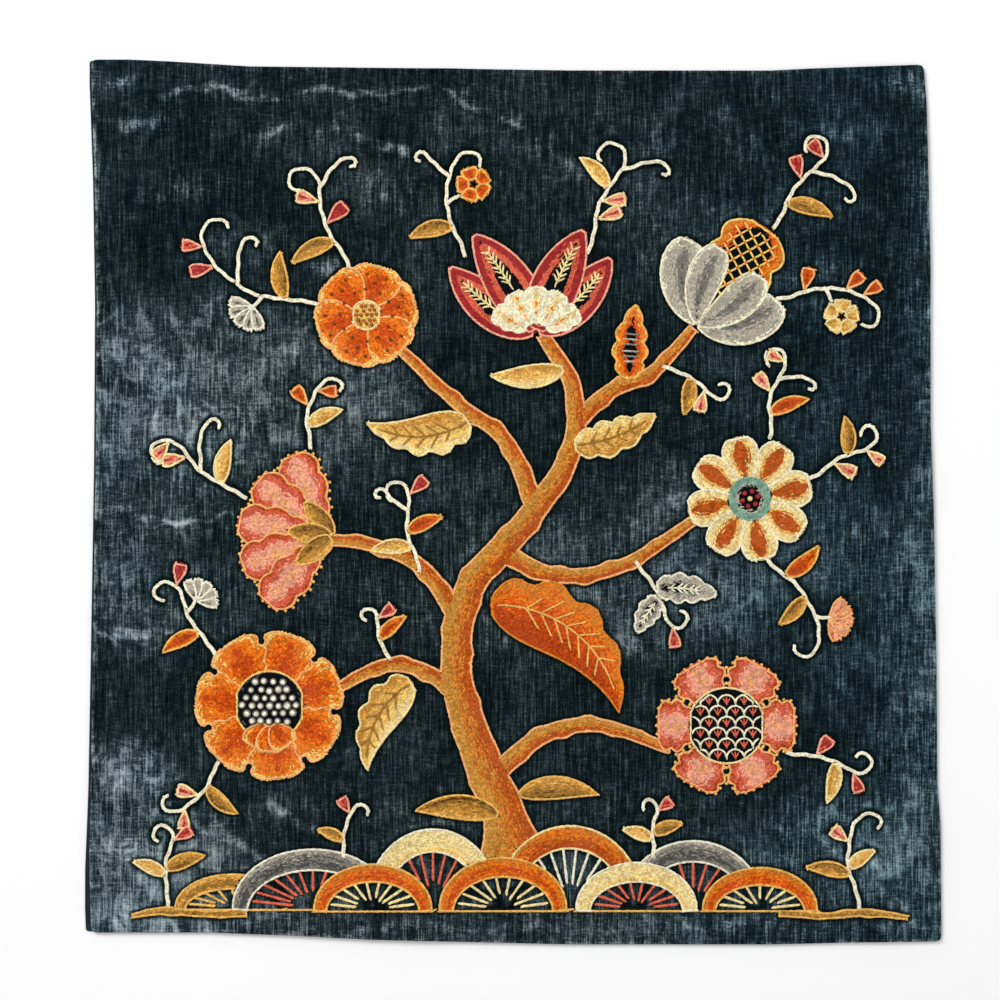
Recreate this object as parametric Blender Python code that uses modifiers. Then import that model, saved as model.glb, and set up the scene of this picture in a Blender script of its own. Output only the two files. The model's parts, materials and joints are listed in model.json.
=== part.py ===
"""A crewel embroidered velvet panel lying flat, face up: the velvet, the backing cloth under it, and each
piece of wool embroidery as a low raised form on the velvet. Lengths are in millimetres and angles in degrees
until each mesh is made, in metres. X runs to the panel's right, Y to its top and Z up, with the origin under
its middle."""
import math
from collections import defaultdict, namedtuple

import bpy
import numpy as np
from mathutils import Vector
from mathutils.bvhtree import BVHTree
from mathutils.geometry import delaunay_2d_cdt

MM = 0.001
BACKING_THICK = 1.0
VELVET_THICK = 1.5
WOOL_THICK = 1.0
GAP = 0.32
VELVET_CELLS = (20, 21)
BACKING_CELLS = (6, 7)
CORNER_CUT = 0.9
STEM_WIDTH = 3.2
STEM_TIP_WIDTH = 2.2
STALK_LENGTH = 9
CURL_STARTS = 0.5

# Swellings along the bark: how far apart along each side, and how far out
KNOB_PITCH = 31
KNOB_OUT = 1.7

# Outlines are thinned to these distances, so that the solids stay light
SIMPLER = 0.6
STRAIGHT = 0.03
SHORTEST = 0.25
MERGED = 0.02
SMALLEST_AREA = 1e-4
NEAR = 2

# The uneven outline of the two cloths: how far out each edge stands, at places along it
Edge = namedtuple("Edge", "along out")
TOP = (
    Edge(-254, 265.6), Edge(-230, 265.6), Edge(-206, 264.4), Edge(-158, 261.4), Edge(-38, 260.2),
    Edge(34, 259), Edge(154, 259), Edge(178, 260.2), Edge(246, 262.6),
)
BOTTOM = (
    Edge(-253, -258.4), Edge(-182, -258.4), Edge(-134, -260.2), Edge(-86, -262.6), Edge(-14, -264.4),
    Edge(34, -265.6), Edge(154, -265.6), Edge(203, -264.4), Edge(257, -263.8),
)
LEFT = (
    Edge(-258, -253.2), Edge(-218, -254.3), Edge(-121, -252.6), Edge(-49, -251.5), Edge(23, -250.3),
    Edge(119, -249.8), Edge(191, -251), Edge(265, -253.4),
)
BACKING_LEFT = (
    Edge(-254, -257.2), Edge(-218, -257.2), Edge(-170, -255.2), Edge(-49, -253), Edge(23, -251.8),
    Edge(119, -251.2), Edge(191, -252.4), Edge(262, -255),
)
RIGHT = (
    Edge(-264, 257.2), Edge(-194, 256.6), Edge(-169, 254.8), Edge(-97, 254.2), Edge(-1, 252.4),
    Edge(47, 250.6), Edge(143, 250.6), Edge(239, 248.2), Edge(263, 246.4),
)

# Soft creases, where the velvet stands up a little, over a gentle cockle all over
COCKLE = 0.35
Crease = namedtuple("Crease", "x0 y0 x1 y1 height width")
CREASES = (
    Crease(-206, 248, -110, 243, 1.6, 34),
    Crease(-110, 243, -38, 246, 1.3, 30),
    Crease(-38, 246, -5, 226, 1.5, 30),
    Crease(-128, 222, -40, 210, 0.9, 36),
    Crease(64, 202, 160, 212, 0.7, 44),
    Crease(-254, -8, -188, -8, 0.9, 36),
    Crease(-248, -71, -212, -71, 0.8, 34),
    Crease(-172, -166, -128, -196, 0.8, 40),
    Crease(-164, -242, -56, -256, 1.2, 34),
    Crease(184, -208, 220, -248, 1.1, 40),
    Crease(-236, 226, -226, -210, 1.2, 44),
    Crease(236, 210, 240, -120, 0.8, 40),
)

# A form says where a blade is widest, from how fast its edges rise and fall, and how its two edges are lobed
Form = namedtuple("Form", "rise fall left_lobes right_lobes depth")
FORMS = {
    "leaf": Form(0.70, 1.00, 0, 0, 0.0),
    "serrate": Form(0.55, 0.85, 4, 4, 0.26),
    "acanthus": Form(0.50, 1.05, 5, 0, 0.34),
    "acanthus_right": Form(0.50, 1.05, 0, 5, 0.34),
    "petal": Form(0.80, 0.42, 0, 0, 0.0),
    "pointed": Form(0.60, 0.80, 0, 0, 0.0),
    "frill": Form(0.62, 0.36, 3, 3, 0.20),
    "bud": Form(1.40, 0.45, 0, 0, 0.0),
}
Ribbon = namedtuple("Ribbon", "node yarn points widths")
Arch = namedtuple("Arch", "node yarn x y half_width height thickness")
Blade = namedtuple("Blade", "node form yarn x y angle length width bend")
Ring = namedtuple("Ring", "node form yarn x y count start sweep root reach width")
Disc = namedtuple("Disc", "node yarn x y radius")
Sprig = namedtuple("Sprig", "node x y angle length wave curl shoots")
Shoot = namedtuple("Shoot", "share turn form length width bend yarn")

TREE = (
    Ribbon("tree", "bark", ((2, -232), (-4, -192), (-22, -146), (-34, -100), (-26, -52), (6, -14), (34, 28),
                            (36, 68), (18, 100)), (56, 26, 21, 18, 17, 15, 12, 10, 8)),
    Ribbon("tree", "bark", ((-24, -128), (-48, -104), (-76, -98), (-106, -112)), (12, 9, 8, 6)),
    Ribbon("tree", "bark", ((-30, -74), (-54, -40), (-84, -26), (-116, -22)), (12, 9, 8, 6)),
    Ribbon("tree", "bark", ((14, -4), (-4, 36), (-34, 60), (-68, 92)), (12, 9, 8, 6)),
    Ribbon("tree", "bark", ((-14, -166), (18, -140), (52, -134), (94, -148)), (12, 10, 8, 6)),
    Ribbon("tree", "bark", ((-8, -30), (26, -44), (66, -38), (110, -10)), (12, 9, 8, 6)),
    Ribbon("tree", "bark", ((36, 46), (58, 66), (84, 78), (108, 104)), (11, 9, 8, 6)),
    Ribbon("ground_left", "olive", ((-228, -248), (-208, -245), (-186, -247), (-160, -246)), (2.6, 4.6, 3.4, 5)),
    Ribbon("ground_right", "olive", ((160, -246), (188, -248), (212, -246), (236, -249)), (5, 3.4, 4.6, 2.6)),
)
HILLOCKS = (
    Arch("hillock_1", "olive", -168, -244, 36, 21, 9),
    Arch("hillock_2", "slate", -120, -244, 50, 36, 13),
    Arch("hillock_3", "cream", -48, -244, 42, 48, 14),
    Arch("hillock_4", "gold", 34, -244, 46, 50, 14),
    Arch("hillock_5", "slate", 108, -244, 44, 41, 13),
    Arch("hillock_6", "flame", -84, -245, 37, 28, 11),
    Arch("hillock_7", "flame", -6, -245, 40, 32, 12),
    Arch("hillock_8", "cream", 74, -245, 38, 29, 12),
    Arch("hillock_9", "flame", 148, -245, 36, 26, 11),
)
SPRIGS = (
    Sprig("sprig_top_left", -98, 140, 108, 92, 16, 240, (
        Shoot(0.22, 64, "leaf", 30, 10, 40, "gold"),
        Shoot(0.34, -62, "bud", 18, 9, -10, "red"),
        Shoot(0.48, 66, "bud", 16, 8, 10, "pink"),
        Shoot(0.58, -50, "tendril", 36, 0, -260, "stem"),
    )),
    Sprig("sprig_left_high", -117, 118, 158, 112, 18, -250, (
        Shoot(0.18, -60, "leaf", 30, 10, -40, "gold"),
        Shoot(0.30, 62, "fan", 15, 7, 0, "blue"),
        Shoot(0.46, -60, "tendril", 40, 0, -240, "stem"),
        Shoot(0.62, 60, "bud", 17, 8, 0, "red"),
        Shoot(0.74, 70, "bud", 14, 7, 0, "red"),
    )),
    Sprig("sprig_left_mid", -160, 2, 140, 86, 14, 230, (
        Shoot(0.20, -58, "leaf", 28, 10, -36, "gold"),
        Shoot(0.38, -50, "tendril", 42, 0, -230, "stem"),
        Shoot(0.52, 62, "bud", 17, 8, 0, "pink"),
        Shoot(0.68, 60, "bud", 15, 8, 0, "pink"),
    )),
    Sprig("sprig_left_low", -178, -92, 118, 74, 12, 240, (
        Shoot(0.24, 62, "leaf", 26, 9, 36, "flame"),
        Shoot(0.44, -58, "fan", 14, 6, 0, "blue"),
        Shoot(0.66, -60, "bud", 15, 8, 0, "red"),
    )),
    Sprig("sprig_peony_down", -176, -156, 232, 58, 14, -250, (
        Shoot(0.28, 60, "leaf", 26, 9, 36, "gold"),
        Shoot(0.42, -60, "bud", 15, 8, 0, "pink"),
        Shoot(0.60, 58, "bud", 14, 7, 0, "pink"),
    )),
    Sprig("sprig_ground_left", -207, -242, 84, 66, 14, 250, (
        Shoot(0.28, 50, "leaf", 22, 8, 30, "gold"),
        Shoot(0.34, -52, "leaf", 26, 9, -30, "gold"),
        Shoot(0.60, -56, "bud", 14, 7, 0, "red"),
    )),
    Sprig("sprig_heart", -56, -42, 96, 76, 16, 240, (
        Shoot(0.22, 58, "leaf", 26, 9, 30, "gold"),
        Shoot(0.34, -60, "leaf", 24, 9, -30, "flame"),
        Shoot(0.50, 58, "tendril", 30, 0, 240, "stem"),
        Shoot(0.64, -60, "bud", 15, 8, 0, "red"),
    )),
    Sprig("sprig_crown_left", -29, 147, 100, 84, 16, -240, (
        Shoot(0.24, 60, "leaf", 28, 10, 40, "gold"),
        Shoot(0.40, -56, "rosette", 11, 10, 0, "flame"),
        Shoot(0.60, 60, "tendril", 32, 0, 240, "stem"),
    )),
    Sprig("sprig_crown_right", 45, 149, 66, 92, 16, 230, (
        Shoot(0.24, -60, "bud", 17, 8, 0, "pink"),
        Shoot(0.36, -60, "bud", 16, 8, 0, "pink"),
        Shoot(0.46, 62, "leaf", 26, 9, 36, "gold"),
        Shoot(0.60, -54, "tendril", 38, 0, -250, "stem"),
    )),
    Sprig("sprig_top_right", 156, 164, 52, 84, 14, 250, (
        Shoot(0.22, -62, "leaf", 30, 10, -40, "gold"),
        Shoot(0.40, 60, "bud", 16, 8, 0, "red"),
        Shoot(0.52, -60, "tendril", 40, 0, -240, "stem"),
        Shoot(0.64, 66, "bud", 14, 8, 0, "red"),
    )),
    Sprig("sprig_right_high", 158, 122, 2, 84, 16, -250, (
        Shoot(0.20, 60, "bud", 16, 8, 0, "rust"),
        Shoot(0.36, -60, "rosette", 11, 10, 0, "gold"),
        Shoot(0.52, 58, "bud", 15, 8, 0, "rust"),
        Shoot(0.64, 58, "bud", 14, 7, 0, "rust"),
    )),
    Sprig("sprig_right_inner", 90, 82, -34, 58, 14, 240, (
        Shoot(0.30, -56, "leaf", 24, 9, -30, "gold"),
        Shoot(0.52, -56, "bud", 15, 8, 0, "pink"),
    )),
    Sprig("sprig_right_mid", 178, 14, 26, 66, 12, 250, (
        Shoot(0.26, -60, "bud", 16, 8, 0, "pink"),
        Shoot(0.42, 58, "leaf", 24, 9, 30, "gold"),
        Shoot(0.58, -60, "bud", 14, 7, 0, "pink"),
    )),
    Sprig("sprig_grey", 74, -36, -64, 64, 14, 230, (
        Shoot(0.30, 62, "serrate", 38, 19, -20, "blue"),
        Shoot(0.40, -62, "serrate", 26, 15, 20, "grey"),
        Shoot(0.72, -60, "bud", 14, 7, 0, "red"),
    )),
    Sprig("sprig_right_low", 150, -32, -52, 88, 14, -240, (
        Shoot(0.22, 60, "leaf", 28, 10, 40, "flame"),
        Shoot(0.40, -60, "leaf", 24, 9, -30, "gold"),
        Shoot(0.56, 60, "fan", 15, 7, 0, "coral"),
    )),
    Sprig("sprig_fruit", 164, -150, -18, 70, 14, 250, (
        Shoot(0.26, 58, "bud", 15, 8, 0, "red"),
        Shoot(0.44, -58, "leaf", 26, 9, -34, "gold"),
        Shoot(0.60, -56, "bud", 14, 7, 0, "red"),
    )),
    Sprig("sprig_ground_right", 208, -244, 96, 78, 14, -250, (
        Shoot(0.28, 52, "leaf", 28, 9, 30, "gold"),
        Shoot(0.34, -50, "leaf", 20, 8, -30, "gold"),
        Shoot(0.54, 60, "bud", 14, 8, 0, "pink"),
    )),
    Sprig("sprig_ground_mid", 84, -213, 84, 46, 10, 230, (
        Shoot(0.24, 54, "leaf", 20, 8, 30, "gold"),
        Shoot(0.30, -54, "leaf", 20, 8, -30, "gold"),
        Shoot(0.60, -50, "bud", 12, 7, 0, "red"),
    )),
    Sprig("sprig_ground_peony", -102, -213, 80, 44, 10, -230, (
        Shoot(0.24, 54, "leaf", 18, 7, 30, "gold"),
        Shoot(0.60, 60, "bud", 12, 7, 0, "red"),
    )),
    Sprig("sprig_star_up", 154, 38, 76, 74, 20, 240, (
        Shoot(0.22, -58, "leaf", 26, 9, -34, "flame"),
        Shoot(0.38, 58, "bud", 15, 8, 0, "pink"),
        Shoot(0.50, -56, "tendril", 30, 0, -240, "stem"),
        Shoot(0.66, 60, "bud", 13, 7, 0, "pink"),
    )),
    Sprig("sprig_carnation_up", -122, 32, 82, 60, 18, -240, (
        Shoot(0.24, -56, "leaf", 24, 9, -34, "gold"),
        Shoot(0.44, 58, "bud", 15, 8, 0, "rust"),
        Shoot(0.62, -58, "bud", 13, 7, 0, "rust"),
    )),
    Sprig("sprig_bough", -74, -95, 104, 46, 16, 230, (
        Shoot(0.30, -54, "leaf", 22, 8, -30, "flame"),
        Shoot(0.58, -60, "bud", 13, 7, 0, "red"),
    )),
)
LEAVES = (
    Blade("leaf_great", "acanthus", "flame", -14, -62, 4, 112, 42, -88),
    Blade("leaf_gold_left", "acanthus_right", "gold", -60, -108, 208, 64, 26, 70),
    Blade("leaf_gold_up", "acanthus", "gold", -26, 49, 214, 66, 26, -66),
    Blade("leaf_gold_right", "serrate", "gold", 36, 34, 4, 54, 23, 34),
    Blade("leaf_olive_low", "leaf", "olive", -8, -188, 160, 52, 15, 34),
    Blade("leaf_olive_right", "leaf", "olive", 3, -176, 22, 50, 14, -44),
    Blade("leaf_flame_top", "serrate", "flame", 70, 73, 92, 46, 22, -14),
    Blade("leaf_gold_crown", "leaf", "gold", 31, 80, 200, 46, 14, -30),
)
FLOWERS = (
    Ring("star_flower", "petal", "cream", 142, 2, 8, 12, 360, 7, 38, 22),
    Disc("star_flower", "teal", 142, 2, 13),
    Ring("peony", "frill", "orange", -146, -122, 7, 20, 360, 14, 45, 35),
    Disc("peony", "seed", -146, -122, 21),
    Ring("peony", "petal", "orange", -146, -131, 3, 235, 70, 2, 20, 17),
    Blade("lily", "pointed", "red", 14, 102, 158, 66, 26, -30),
    Blade("lily", "pointed", "red", 14, 102, 32, 64, 26, 26),
    Blade("lily", "pointed", "red", 14, 102, 116, 70, 29, 14),
    Blade("lily", "pointed", "red", 14, 102, 70, 68, 29, -10),
    Ring("lily", "frill", "cream", 14, 100, 5, 30, 120, 6, 30, 15),
    Ring("pomegranate", "frill", "coral", 128, -134, 6, 60, 360, 16, 42, 33),
    Disc("pomegranate", "scale", 128, -134, 23),
    Ring("carnation", "frill", "coral", -112, -21, 5, 112, 116, 6, 54, 27),
    Ring("carnation", "pointed", "olive", -108, -21, 3, 128, 88, 0, 28, 13),
    Ring("dotted_flower", "petal", "orange", -88, 112, 6, 15, 360, 4, 31, 31),
    Disc("dotted_flower", "gold", -88, 112, 9),
    Blade("lotus", "petal", "grey", 110, 106, -14, 54, 27, 62),
    Blade("lotus", "petal", "grey", 110, 106, 124, 54, 27, -62),
    Blade("lotus", "frill", "orange", 116, 114, 55, 62, 46, 0),
    Blade("lotus", "petal", "grey", 110, 106, 18, 50, 22, 40),
    Blade("lotus", "petal", "grey", 110, 106, 92, 50, 22, -40),
)

# Every embroidered shape becomes a band: a line, with a half-width on each side at each of its points
Band = namedtuple("Band", "node line left right yarn")
RIBBON_STEPS, ARCH_STEPS, DISC_STEPS, BLADE_STEPS, SHOOT_STEPS, STEM_STEPS = 60, 24, 16, 24, 14, 40


def turned(x, y, heading_at, length, steps):
    """Points along a path from x, y, whose heading is a function of the share of the way along it."""
    points = [(x, y)]
    for i in range(steps):
        heading = math.radians(heading_at((i + 0.5) / steps))
        x += length / steps * math.cos(heading)
        y += length / steps * math.sin(heading)
        points.append((x, y))
    return np.array(points)


def smooth(points, steps):
    """The Catmull-Rom curve through points."""
    p = np.array(points, float)
    p = np.vstack([2 * p[0] - p[1], p, 2 * p[-1] - p[-2]])
    out = []
    for place in np.linspace(0, len(points) - 1, steps + 1):
        i = min(int(place), len(points) - 2)
        t = place - i
        a, b, c, d = p[i : i + 4]
        bent = (c - a) * t + (2 * a - 5 * b + 4 * c - d) * t**2 + (3 * b - a - 3 * c + d) * t**3
        out.append(b + 0.5 * bent)
    return np.array(out)


def lobed(share, lobes, depth):
    if not lobes:
        return np.ones_like(share)
    return 1 - depth * (1 - np.abs(np.sin(math.pi * lobes * share)))


def blade_band(blade, steps=BLADE_STEPS):
    """A leaf or petal along an arc that bends as it goes."""
    form = FORMS[blade.form]
    share = (1 - np.cos(np.linspace(0, math.pi, steps + 1))) / 2
    peak = form.rise / (form.rise + form.fall)
    swell = (share / peak) ** form.rise * ((1 - share) / (1 - peak)) ** form.fall * blade.width / 2
    arc = turned(blade.x, blade.y, lambda s: blade.angle + blade.bend * s, blade.length, 4 * steps)
    line = np.stack([np.interp(share, np.linspace(0, 1, len(arc)), arc[:, k]) for k in (0, 1)], axis=1)
    left = swell * lobed(share, form.left_lobes, form.depth)
    right = swell * lobed(share, form.right_lobes, form.depth)
    return Band(blade.node, line, left, right, blade.yarn)


def ribbon_band(ribbon):
    """A stretch of bark or ground, with swellings that take turns on its two sides."""
    line = smooth(ribbon.points, RIBBON_STEPS)
    at = np.linspace(0, 1, RIBBON_STEPS + 1)
    half = np.interp(at, np.linspace(0, 1, len(ribbon.widths)), ribbon.widths) / 2
    along = np.concatenate([[0], np.cumsum(np.linalg.norm(np.diff(line, axis=0), axis=1))])
    wave = np.sin(2 * math.pi * along / KNOB_PITCH)
    knob = KNOB_OUT * np.minimum(1, half / 4) * np.sin(math.pi * at)
    left, right = half + knob * np.maximum(0, wave) ** 2, half + knob * np.minimum(0, wave) ** 2
    return Band(ribbon.node, line, left, right, ribbon.yarn)


def arch_band(arch):
    """The crest of a hillock, thinner at its two feet."""
    turn = np.linspace(math.pi, 0, ARCH_STEPS + 1)
    x = arch.x + (arch.half_width - arch.thickness / 2) * np.cos(turn)
    y = arch.y + (arch.height - arch.thickness / 2) * np.sin(turn)
    half = arch.thickness / 2 * (0.72 + 0.28 * np.sin(turn))
    return Band(arch.node, np.stack([x, y], axis=1), half, half, arch.yarn)


def mound(arch):
    """The whole outline of a hillock, whose bare hollow hides what is worked behind it."""
    turn = np.linspace(math.pi, 0, ARCH_STEPS + 1)
    x = arch.x + arch.half_width * np.cos(turn)
    y = arch.y + arch.height * np.sin(turn)
    return list(np.stack([x, y], axis=1))


def disc_band(disc):
    turn = np.linspace(-math.pi / 2, math.pi / 2, DISC_STEPS + 1)
    line = np.stack([disc.x + disc.radius * np.sin(turn), np.full(len(turn), float(disc.y))], axis=1)
    half = disc.radius * np.cos(turn)
    return Band(disc.node, line, half, half, disc.yarn)


def ring_bands(ring):
    """Blades set round a middle, over a full turn or a part of one."""
    gaps = ring.count if ring.sweep == 360 else ring.count - 1
    for i in range(ring.count):
        angle = ring.start + ring.sweep * i / gaps
        x = ring.x + ring.root * math.cos(math.radians(angle))
        y = ring.y + ring.root * math.sin(math.radians(angle))
        blade = Blade(ring.node, ring.form, ring.yarn, x, y, angle, ring.reach - ring.root, ring.width, 0)
        yield blade_band(blade, SHOOT_STEPS)


def stem_line(x, y, angle, length, wave, curl, steps):
    def heading(share):
        curled = max(0.0, (share - CURL_STARTS) / (1 - CURL_STARTS)) ** 2
        return angle + wave * math.sin(2.8 * math.pi * share) + curl * curled

    return turned(x, y, heading, length, steps)


def stem_band(node, line):
    half = np.linspace(STEM_WIDTH, STEM_TIP_WIDTH, len(line)) / 2
    return Band(node, line, half, half, "stem")


def shoot_bands(node, shoot, x, y, angle, steps):
    """A leaf, bud, side tendril or small flower that springs from x, y."""
    if shoot.form == "tendril":
        return [stem_band(node, stem_line(x, y, angle, shoot.length, 8, shoot.bend, steps))]
    if shoot.form in FORMS:
        blade = Blade(node, shoot.form, shoot.yarn, x, y, angle, shoot.length, shoot.width, shoot.bend)
        return [blade_band(blade, SHOOT_STEPS)]
    stalk = turned(x, y, lambda share: angle, STALK_LENGTH, 2)
    x, y = stalk[-1]
    if shoot.form == "fan":
        ring = Ring(node, "petal", shoot.yarn, x, y, 5, angle - 62, 124, 0, shoot.length, shoot.width)
    else:
        x += shoot.length * math.cos(math.radians(angle))
        y += shoot.length * math.sin(math.radians(angle))
        ring = Ring(node, "petal", shoot.yarn, x, y, 5, angle, 360, 1.5, shoot.length, shoot.width)
    return [stem_band(node, stalk), *ring_bands(ring)]


def sprig_bands(sprig):
    line = stem_line(sprig.x, sprig.y, sprig.angle, sprig.length, sprig.wave, sprig.curl, STEM_STEPS)
    bands = [stem_band(sprig.node, line)]
    for shoot in sprig.shoots:
        at = int(shoot.share * STEM_STEPS)
        dx, dy = line[at + 1] - line[at]
        angle = math.degrees(math.atan2(dy, dx)) + shoot.turn
        steps = max(12, int(STEM_STEPS * shoot.length / sprig.length))
        bands += shoot_bands(sprig.node, shoot, *line[at], angle, steps)
    return bands


def all_bands():
    """Every band in the order of working, so that a later one lies over an earlier one."""
    bands = [ribbon_band(ribbon) for ribbon in TREE] + [arch_band(arch) for arch in HILLOCKS]
    for sprig in SPRIGS:
        bands += sprig_bands(sprig)
    bands += [blade_band(blade) for blade in LEAVES]
    for piece in FLOWERS:
        if isinstance(piece, Ring):
            bands += ring_bands(piece)
        else:
            bands.append(disc_band(piece) if isinstance(piece, Disc) else blade_band(piece))
    return bands


def outline(band):
    along = np.gradient(band.line, axis=0)
    along /= np.linalg.norm(along, axis=1)[:, None]
    across = np.stack([-along[:, 1], along[:, 0]], axis=1)
    left = band.line + across * band.left[:, None]
    right = band.line - across * band.right[:, None]
    return list(np.vstack([left, right[::-1]]))


# Outlines: thinned, grown by the gap, joined and cut

def off_line(p, a, b):
    run = b - a
    length = math.hypot(*run)
    if length < 1e-6:
        return math.hypot(*(p - a))
    return abs(run[0] * (p - a)[1] - run[1] * (p - a)[0]) / length


def thin(points, allowed):
    """A line without the points that stand less than allowed off it."""
    if len(points) < 3:
        return points
    off = [off_line(p, points[0], points[-1]) for p in points]
    k = int(np.argmax(off))
    if off[k] < allowed:
        return [points[0], points[-1]]
    return thin(points[: k + 1], allowed)[:-1] + thin(points[k:], allowed)


def simpler(loop, allowed, shortest=0.0):
    """A closed outline thinned in two halves, without sides under the shortest length."""
    half = len(loop) // 2
    out = []
    for p in thin(loop[: half + 1], allowed)[:-1] + thin(loop[half:] + loop[:1], allowed)[:-1]:
        if not out or math.hypot(*(p - out[-1])) > shortest:
            out.append(p)
    while math.hypot(*(out[0] - out[-1])) <= shortest:
        out.pop()
    return out


def left_turning(loop):
    area = sum(a[0] * b[1] - a[1] * b[0] for a, b in zip(loop, loop[1:] + loop[:1]))
    return loop if area > 0 else loop[::-1]


def grown(loop, by):
    """A left-turning outline moved out by a distance, with its sharp tips squared off."""
    out = []
    for before, here, after in zip(loop[-1:] + loop[:-1], loop, loop[1:] + loop[:1]):
        d0 = (here - before) / math.hypot(*(here - before))
        d1 = (after - here) / math.hypot(*(after - here))
        n0 = np.array([d0[1], -d0[0]])
        n1 = np.array([d1[1], -d1[0]])
        straight = float(np.dot(d0, d1))
        if straight < 0.2 and d0[0] * d1[1] > d0[1] * d1[0]:
            out += [here + by * (n0 + d0), here + by * (n1 - d1)]
        else:
            out.append(here + by * (n0 + n1) / max(0.3, 1 + straight))
    return out


def turns_round(places, loop):
    """How many times a closed outline turns to the left round each place."""
    turns = np.zeros(len(places), int)
    x, y = places[:, 0], places[:, 1]
    for a, b in zip(loop, loop[1:] + loop[:1]):
        side = (b[0] - a[0]) * (y - a[1]) - (b[1] - a[1]) * (x - a[0])
        turns += ((a[1] <= y) & (b[1] > y) & (side > 0)).astype(int)
        turns -= ((a[1] > y) & (b[1] <= y) & (side < 0)).astype(int)
    return turns


def area_of(triangle, places):
    a, b, c = (places[i] for i in triangle)
    return ((b[0] - a[0]) * (c[1] - a[1]) - (b[1] - a[1]) * (c[0] - a[0])) / 2


def open_sides(triangles):
    sides = {(t[k], t[(k + 1) % 3]) for t in triangles for k in range(3)}
    return sorted((a, b) for a, b in sides if (b, a) not in sides)


def split_plane(loops, lines=()):
    """The plane cut into left-turning triangles along closed outlines and along separate lines."""
    places, cuts = [], []
    for loop in loops:
        first = len(places)
        cuts += [(first + k, first + (k + 1) % len(loop)) for k in range(len(loop))]
        places += [Vector(p) for p in loop]
    for a, b in lines:
        cuts.append((len(places), len(places) + 1))
        places += [Vector(a), Vector(b)]
    places, _, faces, _, _, _ = delaunay_2d_cdt(places, cuts, [], 0, MERGED, True)
    triangles = [tuple(f) if area_of(f, places) > 0 else tuple(f)[::-1] for f in faces]
    triangles = [t for t in triangles if area_of(t, places) > SMALLEST_AREA]
    return places, triangles, np.array([np.mean([places[i] for i in t], axis=0) for t in triangles])


def one_piece(triangles, places):
    """The largest run of triangles joined side to side, with none that meets the rest at a single point."""
    while True:
        by_side = {(t[k], t[(k + 1) % 3]): t for t in triangles for k in range(3)}
        left, runs = set(triangles), []
        while left:
            run, todo = set(), [min(left)]
            while todo:
                t = todo.pop()
                if t in left:
                    left.discard(t)
                    run.add(t)
                    todo += [by_side[s] for s in ((t[(k + 1) % 3], t[k]) for k in range(3)) if s in by_side]
            runs.append(run)
        triangles = sorted(max(runs, key=lambda run: sum(area_of(t, places) for t in run)))
        starts = [a for a, b in open_sides(triangles)]
        pinched = {a for a in starts if starts.count(a) > 1}
        if not pinched:
            return triangles
        triangles.remove(min((t for t in triangles if pinched & set(t)), key=lambda t: area_of(t, places)))


def rims(triangles, places):
    """The closed outlines round a run of triangles, its holes turning to the right."""
    after = dict(open_sides(triangles))
    out = []
    while after:
        loop = [min(after)]
        while after[loop[-1]] != loop[0]:
            loop.append(after[loop[-1]])
        for i in loop:
            del after[i]
        out.append(simpler([np.array(places[i]) for i in loop], STRAIGHT))
    return out


# Cloth and wool surfaces

def edge_value(edge, along):
    return float(np.interp(along, [e.along for e in edge], [e.out for e in edge]))


def lift(x, y):
    """How far the cockle and the creases raise the velvet at x, y."""
    height = COCKLE * (1 + math.sin(0.021 * x + 0.013 * y) * math.sin(0.017 * y - 0.008 * x))
    for c in CREASES:
        run = np.array([c.x1 - c.x0, c.y1 - c.y0])
        at = np.array([x - c.x0, y - c.y0])
        share = min(1.0, max(0.0, float(at @ run) / float(run @ run)))
        away = math.hypot(*(at - share * run))
        height += c.height * math.exp(-((away / (0.45 * c.width)) ** 2))
    return height


def cloth_place(u, v, left):
    """The point u of the way across and v of the way up a cloth, blended from its four edges."""
    corners = {
        (0, 0): np.array([left[0].out, left[0].along]), (1, 0): np.array([BOTTOM[-1].along, RIGHT[0].along]),
        (0, 1): np.array([left[-1].out, left[-1].along]), (1, 1): np.array([TOP[-1].along, RIGHT[-1].along]),
    }
    low = corners[0, 0] + u * (corners[1, 0] - corners[0, 0])
    high = corners[0, 1] + u * (corners[1, 1] - corners[0, 1])
    near = corners[0, 0] + v * (corners[0, 1] - corners[0, 0])
    far = corners[1, 0] + v * (corners[1, 1] - corners[1, 0])
    place = low + v * (high - low)
    place[1] += (1 - v) * (edge_value(BOTTOM, low[0]) - low[1]) + v * (edge_value(TOP, high[0]) - high[1])
    place[0] += (1 - u) * (edge_value(left, near[1]) - near[0]) + u * (edge_value(RIGHT, far[1]) - far[0])
    if u in (0, 1) and v in (0, 1):
        place += CORNER_CUT * np.array([1 - 2 * u, 1 - 2 * v])
    return place


def cloth_surface(left, height_at, cells):
    across, up = cells
    points = []
    for j in range(up + 1):
        for i in range(across + 1):
            x, y = cloth_place(i / across, j / up, left)
            points.append((x, y, height_at(x, y)))
    triangles = []
    for j in range(up):
        for i in range(across):
            a = j * (across + 1) + i
            b = a + across + 1
            triangles += [(a, a + 1, b + 1), (a, b + 1, b)]
    return points, triangles


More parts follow.
